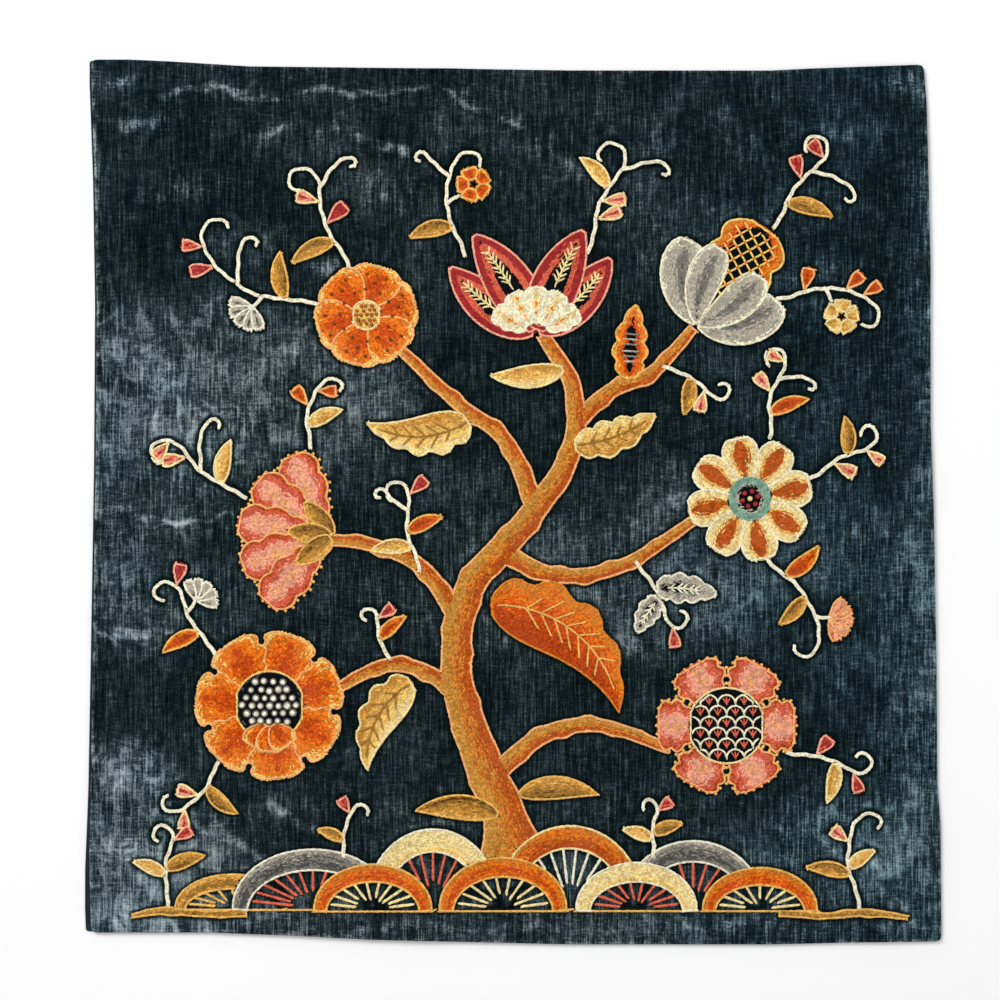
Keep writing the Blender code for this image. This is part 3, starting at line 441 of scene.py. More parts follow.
# How a fill is shaded: its four yarns and where each gives way to the next, either from the edge to the
# middle or across from side to side, how far the way from root to tip counts, how ragged the changes
# are, and the outline
Shade = namedtuple("Shade", "by yarns cuts root ragged edge")
SHADES = {
    "bark": Shade("across", "ochre amber burnt burnt", (0.38, 0.62, 0.84), 0, 0.17, "peach"),
    "cream": Shade("depth", "cream cream gold burnt", (0.2, 0.46, 0.57), 0.12, 0.07, "ivory"),
    "orange": Shade("depth", "pale_yellow orange deep_orange rust", (0.24, 0.52, 0.80), 0.5, 0.09, "peach"),
    "red": Shade("depth", "crimson crimson coral crimson", (0.30, 0.55, 0.8), 0, 0.06, "pink"),
    "coral": Shade("depth", "rust coral pink peach", (0.18, 0.46, 0.84), 0.10, 0.08, "peach"),
    "gold": Shade("across", "cream pale_yellow gold ochre", (0.18, 0.40, 0.74), 0, 0.14, "cream"),
    "flame": Shade("depth", "pale_yellow orange deep_orange rust", (0.16, 0.42, 0.74), 0.2, 0.1, "gold"),
    "blue": Shade("depth", "white blue_grey grey slate", (0.30, 0.72, 0.9), 0.15, 0.08, "white"),
    "grey": Shade("depth", "white blue_grey grey slate", (0.20, 0.62, 0.88), 0.25, 0.08, "ivory"),
    "olive": Shade("across", "gold ochre olive_gold brown", (0.20, 0.5, 0.84), 0, 0.14, "gold"),
    "teal": Shade("depth", "teal_green blue_grey ink ink", (0.32, 0.44, 0.8), 0, 0.03, "teal_green"),
    "seed": Shade("depth", "slate ink ink ink", (0.06, 0.5, 0.8), 0, 0.05, "pale_yellow"),
    "scale": Shade("depth", "ink ink ink ink", (0.3, 0.6, 0.8), 0, 0.02, "cream"),
    "pink": Shade("depth", "pink pink coral crimson", (0.3, 0.6, 0.9), 0.1, 0.08, "cream"),
    "rust": Shade("depth", "orange deep_orange rust rust", (0.3, 0.6, 0.8), 0, 0.08, "peach"),
    "lily petal": Shade("depth", "crimson crimson coral ink", (0.20, 0.36, 0.62), 0, 0.04, "pink"),
    "lily frill": Shade("depth", "ivory ivory cream orange", (0.3, 0.6, 0.82), 0.1, 0.05, "ivory"),
    "barred leaf": Shade("depth", "pale_yellow orange deep_orange ink", (0.14, 0.4, 0.62), 0, 0.06, "gold"),
    "grey leaf": Shade("depth", "blue_grey blue_grey grey ink", (0.2, 0.46, 0.66), 0, 0.05, "white"),
    "lotus heart": Shade("depth", "amber orange deep_orange ink", (0.14, 0.28, 0.4), 0, 0.04, "pale_yellow"),
    "great leaf": Shade("across", "amber orange deep_orange rust", (0.14, 0.34, 0.62), 0, 0.14, "amber"),
    "cream hill": Shade("across", "cream cream cream pale_yellow", (0.3, 0.5, 0.8), 0, 0.12, "ivory"),
    "gold hill": Shade("across", "amber orange burnt rust", (0.25, 0.5, 0.85), 0, 0.22, "cream"),
    "flame hill": Shade("across", "amber orange deep_orange orange", (0.25, 0.5, 0.8), 0, 0.14, "gold"),
    "slate hill": Shade("across", "blue_grey grey slate grey", (0.2, 0.5, 0.8), 0, 0.16, "white"),
    "olive hill": Shade("across", "gold ochre olive_gold ochre", (0.25, 0.5, 0.8), 0, 0.14, "gold"),
}

# Pieces with a shade of their own, the yarn of each hillock's rays, and petals edged with small knots
SPECIAL = {
    ("lily", "pointed"): "lily petal", ("lily", "frill"): "lily frill",
    ("leaf_flame_top", "serrate"): "barred leaf", ("sprig_grey", "serrate"): "grey leaf",
    ("lotus", "frill"): "lotus heart", ("leaf_great", "acanthus"): "great leaf",
}
RAY_YARN = {"olive": "gold", "slate": "coral", "cream": "coral", "gold": "white", "flame": "cream"}
PICOTS = {("pomegranate", "frill"): "gold", ("carnation", "frill"): "gold"}
# How much darker the beds are than their yarns: painted shade in the gaps between the stitches
BED_PAINTED_SHADE = 0.72
MOST_TRIANGLES = 200000


# Every embroidered shape becomes a band: a line, with a half-width on each side at each of its points
Band = namedtuple("Band", "node form line left right yarn")
RIBBON_STEPS, ARCH_STEPS, DISC_STEPS, BLADE_STEPS, STEM_STEPS = 60, 32, 24, 36, 40


def turned(x, y, heading_at, length, steps):
    """Points along a path from x, y, whose heading is a function of the share of the way along it."""
    points = [(x, y)]
    for i in range(steps):
        heading = math.radians(heading_at((i + 0.5) / steps))
        x += length / steps * math.cos(heading)
        y += length / steps * math.sin(heading)
        points.append((x, y))
    return np.array(points)


def smooth(points, steps):
    """The Catmull-Rom curve through points."""
    p = np.array(points, float)
    p = np.vstack([2 * p[0] - p[1], p, 2 * p[-1] - p[-2]])
    out = []
    for place in np.linspace(0, len(points) - 1, steps + 1):
        i = min(int(place), len(points) - 2)
        t = place - i
        a, b, c, d = p[i : i + 4]
        bent = (c - a) * t + (2 * a - 5 * b + 4 * c - d) * t**2 + (3 * b - a - 3 * c + d) * t**3
        out.append(b + 0.5 * bent)
    return np.array(out)


def way_along(line):
    """How far along a line each of its points is."""
    return np.concatenate([[0], np.cumsum(np.linalg.norm(np.diff(line, axis=0), axis=1))])


def length_of(line):
    return np.linalg.norm(np.diff(line, axis=0), axis=1).sum()


def lobed(share, lobes, depth):
    if not lobes:
        return np.ones_like(share)
    return 1 - depth * (1 - np.abs(np.sin(math.pi * lobes * share)))


def blade_band(blade):
    """A leaf or petal along an arc that bends as it goes."""
    form = FORMS[blade.form]
    share = (1 - np.cos(np.linspace(0, math.pi, BLADE_STEPS + 1))) / 2
    peak = form.rise / (form.rise + form.fall)
    swell = (share / peak) ** form.rise * ((1 - share) / (1 - peak)) ** form.fall * blade.width / 2
    arc = turned(blade.x, blade.y, lambda s: blade.angle + blade.bend * s, blade.length, 4 * BLADE_STEPS)
    line = np.stack([np.interp(share, np.linspace(0, 1, len(arc)), arc[:, k]) for k in (0, 1)], axis=1)
    left = swell * lobed(share, form.left_lobes, form.depth)
    right = swell * lobed(share, form.right_lobes, form.depth)
    return Band(blade.node, blade.form, line, left, right, blade.yarn)


def ribbon_band(ribbon):
    """A stretch of bark or ground, with swellings that take turns on its two sides."""
    line = smooth(ribbon.points, RIBBON_STEPS)
    at = np.linspace(0, 1, RIBBON_STEPS + 1)
    half = np.interp(at, np.linspace(0, 1, len(ribbon.widths)), ribbon.widths) / 2
    wave = np.sin(2 * math.pi * way_along(line) / KNOB_PITCH)
    knob = KNOB_OUT * np.minimum(1, half / 4) * np.sin(math.pi * at)
    left, right = half + knob * np.maximum(0, wave) ** 2, half + knob * np.minimum(0, wave) ** 2
    return Band(ribbon.node, "ribbon", line, left, right, ribbon.yarn)


def arch_band(arch):
    """The crest of a hillock, thinner at its two feet."""
    turn = np.linspace(math.pi, 0, ARCH_STEPS + 1)
    x = arch.x + (arch.half_width - arch.thickness / 2) * np.cos(turn)
    y = arch.y + (arch.height - arch.thickness / 2) * np.sin(turn)
    half = arch.thickness / 2 * (0.72 + 0.28 * np.sin(turn))
    return Band(arch.node, "arch", np.stack([x, y], axis=1), half, half, arch.yarn)


def mound(arch):
    """The whole outline of a hillock, whose bare hollow hides what is worked behind it."""
    turn = np.linspace(math.pi, 0, ARCH_STEPS + 1)
    x = arch.x + arch.half_width * np.cos(turn)
    y = arch.y + arch.height * np.sin(turn)
    return np.stack([x, y], axis=1)


def disc_band(disc):
    turn = np.linspace(-math.pi / 2, math.pi / 2, DISC_STEPS + 1)
    line = np.stack([disc.x + disc.radius * np.sin(turn), np.full(len(turn), float(disc.y))], axis=1)
    half = disc.radius * np.cos(turn)
    return Band(disc.node, "disc", line, half, half, disc.yarn)


def ring_bands(ring):
    """Blades set round a middle, over a full turn or a part of one."""
    gaps = ring.count if ring.sweep == 360 else ring.count - 1
    for i in range(ring.count):
        angle = ring.start + ring.sweep * i / gaps
        x = ring.x + ring.root * math.cos(math.radians(angle))
        y = ring.y + ring.root * math.sin(math.radians(angle))
        length = ring.reach - ring.root
        yield blade_band(Blade(ring.node, ring.form, ring.yarn, x, y, angle, length, ring.width, 0))


def stem_line(x, y, angle, length, wave, curl, steps):
    def heading(share):
        curled = max(0.0, (share - CURL_STARTS) / (1 - CURL_STARTS)) ** 2
        return angle + wave * math.sin(2.8 * math.pi * share) + curl * curled

    return turned(x, y, heading, length, steps)


def stem_band(node, line):
    half = np.linspace(STEM_WIDTH, STEM_TIP_WIDTH, len(line)) / 2
    return Band(node, "stem", line, half, half, "stem")


def shoot_bands(node, shoot, x, y, angle, steps):
    """A leaf, bud, side tendril or small flower that springs from x, y."""
    if shoot.form == "tendril":
        return [stem_band(node, stem_line(x, y, angle, shoot.length, 8, shoot.bend, steps))]
    if shoot.form in FORMS:
        blade = Blade(node, shoot.form, shoot.yarn, x, y, angle, shoot.length, shoot.width, shoot.bend)
        return [blade_band(blade)]
    stalk = turned(x, y, lambda share: angle, STALK_LENGTH, 4)
    x, y = stalk[-1]
    if shoot.form == "fan":
        ring = Ring(node, "petal", shoot.yarn, x, y, 5, angle - 62, 124, 0, shoot.length, shoot.width)
    else:
        x += shoot.length * math.cos(math.radians(angle))
        y += shoot.length * math.sin(math.radians(angle))
        ring = Ring(node, "petal", shoot.yarn, x, y, 5, angle, 360, 1.5, shoot.length, shoot.width)
    return [stem_band(node, stalk), *ring_bands(ring)]


def sprig_bands(sprig):
    line = stem_line(sprig.x, sprig.y, sprig.angle, sprig.length, sprig.wave, sprig.curl, STEM_STEPS)
    bands = [stem_band(sprig.node, line)]
    for shoot in sprig.shoots:
        at = int(shoot.share * STEM_STEPS)
        dx, dy = line[at + 1] - line[at]
        angle = math.degrees(math.atan2(dy, dx)) + shoot.turn
        steps = max(12, int(STEM_STEPS * shoot.length / sprig.length))
        bands += shoot_bands(sprig.node, shoot, *line[at], angle, steps)
    return bands


def all_bands():
    """Every band in the order of working, so that a later one lies over an earlier one."""
    bands = [ribbon_band(ribbon) for ribbon in TREE] + [arch_band(arch) for arch in HILLOCKS]
    for sprig in SPRIGS:
        bands += sprig_bands(sprig)
    bands += [blade_band(blade) for blade in LEAVES]
    for piece in FLOWERS:
        if isinstance(piece, Ring):
            bands += ring_bands(piece)
        else:
            bands.append(disc_band(piece) if isinstance(piece, Disc) else blade_band(piece))
    return bands


def across(line):
    """The unit vectors to the left of a line at its points."""
    along = np.gradient(line, axis=0)
    along /= np.linalg.norm(along, axis=1)[:, None] + 1e-12
    return np.stack([-along[:, 1], along[:, 0]], axis=1)


def outline(band):
    side = across(band.line)
    left_edge = band.line + side * band.left[:, None]
    right_edge = band.line - side * band.right[:, None]
    return np.vstack([left_edge, right_edge[::-1]])


# Cloth

def edge_value(edge, along):
    return np.interp(along, [e.along for e in edge], [e.out for e in edge])


def ridge(x, y, crease):
    """The height of one crease at each place."""
    dx, dy = crease.x1 - crease.x0, crease.y1 - crease.y0
    share = np.clip(((x - crease.x0) * dx + (y - crease.y0) * dy) / (dx * dx + dy * dy), 0, 1)
    away = np.hypot(x - crease.x0 - share * dx, y - crease.y0 - share * dy)
    return crease.height * np.exp(-((away / (CREASE_SPREAD * crease.width)) ** 2))


def velvet_top(x, y):
    """The height of the velvet's face: a gentle cockle all over, and the creases."""
    height = COCKLE * (1 + np.sin(0.021 * x + 0.013 * y) * np.sin(0.017 * y - 0.008 * x))
    for creases in (CREASES, FINE_CREASES):
        height = height + sum(ridge(x, y, crease) for crease in creases)
    return BACKING_THICK + GAP + VELVET_THICK + height


def cloth_places(u, v, left):
    """The places of a cloth at each pair of shares across and up, blended from its four edges."""
    u, v = np.meshgrid(u, v)
    corner = {
        (0, 0): (left[0].out, left[0].along), (1, 0): (BOTTOM[-1].along, RIGHT[0].along),
        (0, 1): (left[-1].out, left[-1].along), (1, 1): (TOP[-1].along, RIGHT[-1].along),
    }
    low = [corner[0, 0][k] + u * (corner[1, 0][k] - corner[0, 0][k]) for k in (0, 1)]
    high = [corner[0, 1][k] + u * (corner[1, 1][k] - corner[0, 1][k]) for k in (0, 1)]
    near = corner[0, 0][1] + v * (corner[0, 1][1] - corner[0, 0][1])
    far = corner[1, 0][1] + v * (corner[1, 1][1] - corner[1, 0][1])
    near_x = corner[0, 0][0] + v * (corner[0, 1][0] - corner[0, 0][0])
    far_x = corner[1, 0][0] + v * (corner[1, 1][0] - corner[1, 0][0])
    x = low[0] + v * (high[0] - low[0]) + (1 - u) * (edge_value(left, near) - near_x)
    x += u * (edge_value(RIGHT, far) - far_x)
    y = low[1] + v * (high[1] - low[1]) + (1 - v) * (edge_value(BOTTOM, low[0]) - low[1])
    y += v * (edge_value(TOP, high[0]) - high[1])
    return x, y


def shares(length, pitch, round_edge):
    """Shares of a length, close together near both its ends and a pitch apart between them."""
    near = round_edge * np.array([0.0, 0.12, 0.35, 0.65, 1.0, 1.5])
    middle = np.linspace(near[-1], length - near[-1], int(length / pitch))
    return np.concatenate([near[:-1], middle, length - near[:-1][::-1]]) / length


def sheet_object(name, left, height_at, thickness, pitch):
    """A closed sheet with a rounded edge all round, and a flat underside."""
    wide, tall = SHEET_SIZE
    u, v = shares(wide, pitch, thickness), shares(tall, pitch, thickness)
    x, y = cloth_places(u, v, left)
    rows, columns = x.shape
    to_edge = np.minimum(np.minimum(u, 1 - u)[None, :] * wide, np.minimum(v, 1 - v)[:, None] * tall)
    flatness = np.clip(to_edge / thickness, 0, 1)
    z = height_at(x, y) - thickness * EDGE_ROUNDING * (1 - np.sqrt(1 - (1 - flatness) ** 2))
    corner_x = np.clip(1 - np.minimum(u, 1 - u) * wide / CORNER_REACH, 0, 1)[None, :]
    corner_y = np.clip(1 - np.minimum(v, 1 - v) * tall / CORNER_REACH, 0, 1)[:, None]
    pull = CORNER_CUT * corner_x * corner_y
    x = x + pull * np.where(u < 0.5, 1, -1)[None, :]
    y = y + pull * np.where(v < 0.5, 1, -1)[:, None]
    places = np.stack([x, y, z], axis=-1).reshape(-1, 3)
    index = np.arange(rows * columns).reshape(rows, columns)
    corners = [index[:-1, :-1], index[:-1, 1:], index[1:, 1:], index[1:, :-1]]
    faces = np.stack(corners, axis=-1).reshape(-1, 4)
    rim = np.concatenate([index[0, :-1], index[:-1, -1], index[-1, :0:-1], index[:0:-1, 0]])
    mesh = bpy.data.meshes.new(name)
    mesh.from_pydata((places * MM).tolist(), [], faces.tolist() + [rim[::-1].tolist()])
    mesh.shade_smooth()
    obj = bpy.data.objects.new(name, mesh)
    bpy.context.scene.collection.objects.link(obj)
    return obj


def oval(x, y, patch):
    turn = math.radians(patch.turn)
    dx, dy = x - patch.x, y - patch.y
    along = (dx * math.cos(turn) + dy * math.sin(turn)) / patch.long
    side = (dy * math.cos(turn) - dx * math.sin(turn)) / patch.wide
    return np.clip(1 - along**2 - side**2, 0, 1) ** 1.5


def nearness(x, y, loops, reach):
    """How near each place is to the nearest loop: 1 on it, and falling to nothing past the reach."""
    out = np.zeros(len(x))
    for loop in loops:
        low, high = loop.min(axis=0) - 2 * reach, loop.max(axis=0) + 2 * reach
        near = np.flatnonzero((x > low[0]) & (x < high[0]) & (y > low[1]) & (y < high[1]))
        best = np.full(len(near), np.inf)
        for a, b in zip(loop, np.roll(loop, -1, axis=0)):
            dx, dy = b - a
            from_x, from_y = x[near] - a[0], y[near] - a[1]
            share = np.clip((from_x * dx + from_y * dy) / (dx * dx + dy * dy + 1e-9), 0, 1)
            best = np.minimum(best, (from_x - share * dx) ** 2 + (from_y - share * dy) ** 2)
        out[near] = np.maximum(out[near], np.exp(-best / reach**2))
    return out


def age_velvet(velvet, loops):
    """Keeps on the velvet's mesh, for each of its points, how much painted sheen it has, how rubbed it is
    with painted highlights along the creases, and how near it is to the wool, for painted shade there.
    """
    places = np.empty(3 * len(velvet.data.vertices))
    velvet.data.vertices.foreach_get("co", places)
    x, y = places.reshape(-1, 3)[:, :2].T / MM
    wavy_x = x + 3.2 * np.sin(0.11 * y + 0.05 * x) + 1.4 * np.sin(0.33 * y - 0.17 * x)
    wavy_y = y + 2.4 * np.sin(0.09 * x - 0.04 * y) + 1.1 * np.sin(0.29 * x + 0.2 * y)
    ovals = [oval(wavy_x, wavy_y, patch) for patch in VELVET_PATCHES]
    # Painted sheen of the pile's lay, and wear with painted highlights along the creases
    haze = sum(patch.haze * soft for patch, soft in zip(VELVET_PATCHES, ovals))
    wear = np.max([patch.wear * soft for patch, soft in zip(VELVET_PATCHES, ovals)], axis=0)
    rims = {
        "left": x - edge_value(LEFT, y), "right": edge_value(RIGHT, y) - x,
        "bottom": y - edge_value(BOTTOM, x), "top": edge_value(TOP, x) - y,
    }
    for name, away in rims.items():
        wear = np.maximum(wear, RIM_WEAR[name] * np.exp(-((away / RIM) ** 2)))
    for name, values in (("haze", haze), ("wear", wear), ("painted_stitch_shade", nearness(x, y, loops, STITCH_SHADE_REACH))):
        attribute = velvet.data.attributes.new(name, "FLOAT", "POINT")
        attribute.data.foreach_set("value", values.astype(np.float32))


# Stitches: a grain is the short rounded length of yarn that shows between a needle's holes

Rows = namedtuple("Rows", "line depth lean at")
GRAIN_ALONG = np.array([-0.5, -0.24, 0.24, 0.5])
GRAIN_SWELL = np.array([0.35, 1.0, 1.0, 0.35])
GRAIN_ROUND = np.array([[-1.0, 0.0], [-0.62, 0.82], [0.62, 0.82], [1.0, 0.0]])
KNOT_RINGS = ((0.94, 0.0), (1.0, 0.45), (0.6, 0.98), (0.22, 1.1))
KNOT_SIDES = 8


class Work:
    """The grains and knots of one piece. A grain is a row of x, y, angle, length, half-width, height,
    foot and yarn."""

    def __init__(self):
        self.grains = []
        self.knots = []

    def add(self, worked, yarn, height, foot, over):
        if worked is None:
            return
        x, y, angle, length, width, _ = worked
        n = len(x)
        columns = [x, y, angle, length, width] + [np.broadcast_to(c, n) for c in (height, foot, yarn)]
        keep = ~hidden(x, y, over)
        self.grains.append(np.stack(columns, axis=1)[keep])

    def thread(self, line, yarn, rng, over, width=THREAD, foot=OVER):
        worked = strand(np.array(line), width, STITCH, PLY_LEAN, rng)
        self.add(worked, YARN_NUMBER[yarn], width * 0.75, foot, over)

    def knot(self, x, y, radius, yarn, over, foot=OVER, crown=None):
        """A French knot, whose crown may be of another yarn."""
        if not hidden(np.array([x]), np.array([y]), over)[0]:
            self.knots.append((x, y, radius, foot, YARN_NUMBER[yarn], YARN_NUMBER[crown or yarn]))


def resample(line, step):
    """Places about a step apart along a line, each with its heading and its share of the way."""
    at = way_along(line)
    if at[-1] < 0.6 * step:
        return None
    count = max(1, int(round(at[-1] / step)))
    places = (np.arange(count) + 0.5) * at[-1] / count
    x, y = np.interp(places, at, line[:, 0]), np.interp(places, at, line[:, 1])
    k = np.clip(np.searchsorted(at, places) - 1, 0, len(line) - 2)
    heading = np.arctan2(line[k + 1, 1] - line[k, 1], line[k + 1, 0] - line[k, 0])
    return x, y, heading, places / at[-1]


def chain(line, rng):
    """Chain stitch along a line: two grains to each link, splayed like a V."""
    found = resample(line, STITCH)
    if found is None:
        return None
    x, y, heading, share = (np.tile(c, 2) for c in found)
    n = len(x)
    side = np.repeat([1, -1], n // 2)
    off = side * 0.25 * ROW * (1 + 0.12 * rng.standard_normal(n))
    along = 0.16 * STITCH * rng.standard_normal(n)
    x = x - off * np.sin(heading) + along * np.cos(heading)
    y = y + off * np.cos(heading) + along * np.sin(heading)
    size = 1 + 0.13 * rng.standard_normal(n)
    angle = heading + side * CHAIN_SPLAY + 0.16 * rng.standard_normal(n)
    return x, y, angle, 1.1 * STITCH * size, 0.25 * ROW * size, share


def strand(line, width, stitch, lean, rng):
    """Stem stitch along a line: overlapping grains that lean across it like the plies of a cord."""
    found = resample(line, stitch * 0.55)
    if found is None:
        return None
    x, y, heading, share = found
    size = 1 + 0.08 * rng.standard_normal(len(x))
    angle = heading + lean + 0.05 * rng.standard_normal(len(x))
    return x, y, angle, np.minimum(1.3 * stitch, 3.2 * width) * size, 0.5 * width * size, share


def inside(x, y, loop):
    turns = np.zeros(len(x), int)
    for a, b in zip(loop, np.roll(loop, -1, axis=0)):
        side = (b[0] - a[0]) * (y - a[1]) - (b[1] - a[1]) * (x - a[0])
        turns += ((a[1] <= y) & (b[1] > y) & (side > 0)).astype(int)
        turns -= ((a[1] > y) & (b[1] <= y) & (side < 0)).astype(int)
    return turns != 0


def hidden(x, y, over):
    """Which places lie under the shapes that are worked over them."""
    out = np.zeros(len(x), bool)
    for loop in over:
        low, high = loop.min(axis=0), loop.max(axis=0)
        near = np.flatnonzero(~out & (x > low[0]) & (x < high[0]) & (y > low[1]) & (y < high[1]))
        if len(near):
            out[near] = inside(x[near], y[near], loop)
    return out


def runs_of(mask):
    """The first and last places of each unbroken run in a mask."""
    edges = np.flatnonzero(np.diff(np.concatenate([[0], mask.astype(int), [0]])))
    return list(zip(edges[::2], edges[1::2]))


def finer(band, step):
    """The band's line and half-widths at places about a step apart, with their shares of the way."""
    at = way_along(band.line)
    share = np.linspace(0, 1, max(6, int(at[-1] / step)) + 1)
    columns = (band.line[:, 0], band.line[:, 1], band.left, band.right)
    x, y, left, right = (np.interp(share, at / at[-1], column) for column in columns)
    return np.stack([x, y], axis=1), left, right, share


def fill_rows(band):
    """The rows that fill a band, following its outline inwards."""
    line, left, right, share = finer(band, 1.0)
    side = across(line)
    middle, half = (left - right) / 2, (left + right) / 2
    edge = EDGE_ROW * 0.8
    rows = []
    k = 0
    while half.max() - edge - (k + 0.5) * ROW > -0.4 * ROW:
        room = half - edge - (k + 0.5) * ROW
        for s, low, high in ((1, 0.3, np.inf), (-1, 0.3, np.inf), (0, -0.4, 0.3)):
            for first, last in runs_of((room > low * ROW) & (room <= high * ROW)):
                if last - first > 2:
                    cut = slice(first, last)
                    path = line[cut] + side[cut] * (middle[cut] + s * room[cut])[:, None]
                    lean = s * room[cut] / half[cut]
                    rows.append(Rows(path, half.max() - room[cut].max(), lean, share[cut]))
        k += 1
    return [row._replace(depth=min(1, row.depth / half.max())) for row in rows]


def disc_rows(band):
    middle, radius = band.line.mean(axis=0), band.left.max()
    rows = []
    r = radius - 0.8 * EDGE_ROW - 0.5 * ROW
    while r > 0.4:
        turn = np.linspace(0, 2 * math.pi, max(9, int(3 * r)) + 1)
        path = middle + r * np.stack([np.cos(turn), np.sin(turn)], axis=1)
        rows.append(Rows(path, 1 - r / radius, np.zeros(len(turn)), np.ones(len(turn))))
        r -= ROW
    return rows


def inner_outline(band, inset):
    """The outline a little way inside a band's own, without the tips that are too thin for it."""
    line, left, right, _ = finer(band, 1.5)
    wide = np.flatnonzero(left + right > 2 * inset)
    cut = slice(wide[0], wide[-1] + 1)
    return outline(band._replace(line=line[cut], left=left[cut] - inset, right=right[cut] - inset))


def shade_of(band):
    if (band.node, band.form) in SPECIAL:
        return SHADES[SPECIAL[band.node, band.form]]
    return SHADES[band.yarn + " hill" if band.form == "arch" else band.yarn]


def scale_place(shade, lean, depth, way):
    """The place on a shade's scale, by how far to the side, how deep and how far along the fill it is."""
    return 0.5 - 0.5 * lean if shade.by == "across" else depth * (1 - shade.root) + shade.root * (1 - way)


def yarn_at(shade, place):
    return np.array([YARN_NUMBER[name] for name in shade.yarns.split()])[np.digitize(place, shade.cuts)]


def tones(shade, row, share, rng):
    """The yarn of each grain of a row, with ragged changes from one shade to the next."""
    lean, way = (np.interp(share, np.linspace(0, 1, len(column)), column) for column in (row.lean, row.at))
    noise = rng.standard_normal(len(share) + 4)
    slow = sum(noise[k : k + len(share)] for k in range(5)) / 5**0.5
    ragged = shade.ragged * (0.7 * slow + 0.7 * rng.standard_normal(len(share)))
    return yarn_at(shade, scale_place(shade, lean, row.depth, way) + ragged)


def slim(band, phase):
    """A tendril as it is worked: thinner than its solid, and a little unsteady."""
    line, left, right, _ = finer(band, 1.0)
    at = way_along(line)
    sway = STEM_SWAY * np.sin(at / 2.3 + phase) * np.sin(at / 5.7 + 2 * phase)
    return band._replace(
        line=line + across(line) * sway[:, None], left=STEM_WORKED * left, right=STEM_WORKED * right,
    )


def work_stem(work, band, over, rng):
    """A tendril: two strands of cream wool side by side."""
    half = (band.left + band.right) / 2
    side = across(band.line)
    for s, yarn in ((1, "ivory"), (-1, "white")):
        line = band.line + side * (0.44 * s * half)[:, None]
        worked = strand(line, half.mean() * 1.14, STEM_STITCH, STEM_LEAN, rng)
        work.add(worked, YARN_NUMBER[yarn], EDGE_HEIGHT, FOOT, over)


def work_fill(work, band, over, edge_over, rng):
    shade = shade_of(band)
    for row in disc_rows(band) if band.form == "disc" else fill_rows(band):
        worked = chain(row.line, rng)
        if worked is None:
            continue
        yarn = tones(shade, row, worked[5], rng)
        work.add(worked, yarn, GRAIN_HEIGHT * (1 + 0.08 * rng.standard_normal(len(yarn))), FOOT, over)
    edge = inner_outline(band, 0.3 * EDGE_ROW)
    worked = strand(np.vstack([edge, edge[:1]]), EDGE_ROW, EDGE_STITCH, PLY_LEAN, rng)
    work.add(worked, YARN_NUMBER[shade.edge], EDGE_HEIGHT, FOOT, edge_over)


# What is worked over the fills and on the bare velvet

def at_share(band, share):
    """The place, heading and half-width of a band at a share of its length."""
    line, left, right, _ = finer(band, 1.0)
    k = min(int(share * (len(line) - 1)), len(line) - 2)
    heading = math.atan2(line[k + 1, 1] - line[k, 1], line[k + 1, 0] - line[k, 0])
    return line[k], heading, left[k], right[k]


def part_way(band, first, last):
    line, _, _, share = finer(band, 1.0)
    return line[(share >= first) & (share <= last)]


def barb(place, heading, length):
    return np.array([place, place + length * np.array([math.cos(heading), math.sin(heading)])])


def work_fern(work, band, over, rng, first, last, yarn):
    """A small sprig up the middle of a petal: a stem with pairs of barbs."""
    work.thread(part_way(band, first, last), yarn, rng, over)
    for share in np.arange(first + 0.06, last, BARB_PITCH / length_of(band.line)):
        place, heading, left, _ = at_share(band, share)
        for s in (1, -1):
            work.thread(barb(place, heading + s * BARB_SPLAY, min(4.2, 0.42 * left)), yarn, rng, over)


def work_bars(work, band, over, rng, first, last, pitch, yarns):
    """Bars across the dark heart of a leaf."""
    for k, share in enumerate(np.arange(first, last, pitch / length_of(band.line))):
        place, heading, left, right = at_share(band, share)
        reach = 0.42 * min(left, right)
        side = np.array([-math.sin(heading), math.cos(heading)])
        work.thread([place - reach * side, place + reach * side], yarns[k % len(yarns)], rng, over)


def work_veins(work, band, over, rng, yarn, pitch):
    """A midrib and slanting side veins."""
    work.thread(part_way(band, 0.04, 0.86), yarn, rng, over)
    for share in np.arange(0.2, 0.76, pitch / length_of(band.line)):
        place, heading, left, right = at_share(band, share)
        for s, half in ((1, left), (-1, right)):
            work.thread(barb(place, heading + s * SIDE_VEIN_SPLAY, 0.72 * half), yarn, rng, over)


def work_pearls(work, disc, over, rng, pitch, radius, yarn, crown):
    """French knots set close together over a flower's middle."""
    rows = int(disc.radius / (ROW_OF_HEXAGONS * pitch))
    for j in range(-rows, rows + 1):
        for i in range(-rows - 1, rows + 2):
            x, y = (i + 0.5 * (j % 2)) * pitch, ROW_OF_HEXAGONS * j * pitch
            if math.hypot(x, y) < disc.radius - radius - EDGE_ROW:
                x, y = disc.x + x + 0.3 * rng.standard_normal(), disc.y + y + 0.3 * rng.standard_normal()
                work.knot(x, y, radius * (1 + 0.08 * rng.standard_normal()), yarn, over, OVER, crown)


def work_scales(work, disc, over, rng, pitch):
    """Rows of scales, each an arc over three short stitches."""
    room = disc.radius - EDGE_ROW - 0.5
    rows = int(disc.radius / (ROW_OF_SCALES * pitch)) + 1
    turn = np.linspace(math.pi, 0, 15)
    for j in range(-rows, rows + 1):
        for i in range(-rows, rows + 1):
            x, y = disc.x + (i + 0.5 * (j % 2)) * pitch, disc.y + ROW_OF_SCALES * j * pitch
            arc = np.stack([x + 0.5 * pitch * np.cos(turn), y + 0.5 * pitch * np.sin(turn)], axis=1)
            arc = arc[np.hypot(arc[:, 0] - disc.x, arc[:, 1] - disc.y) < room]
            if len(arc) > 3:
                work.thread(arc, "ivory", rng, over)
            if math.hypot(x - disc.x, y + 2 - disc.y) < room - 2:
                place = np.array([x, y])
                for lean in (-0.55, 0, 0.55):
                    work.thread(barb(place, math.pi / 2 + lean, 0.34 * pitch), "coral", rng, over, 0.8)


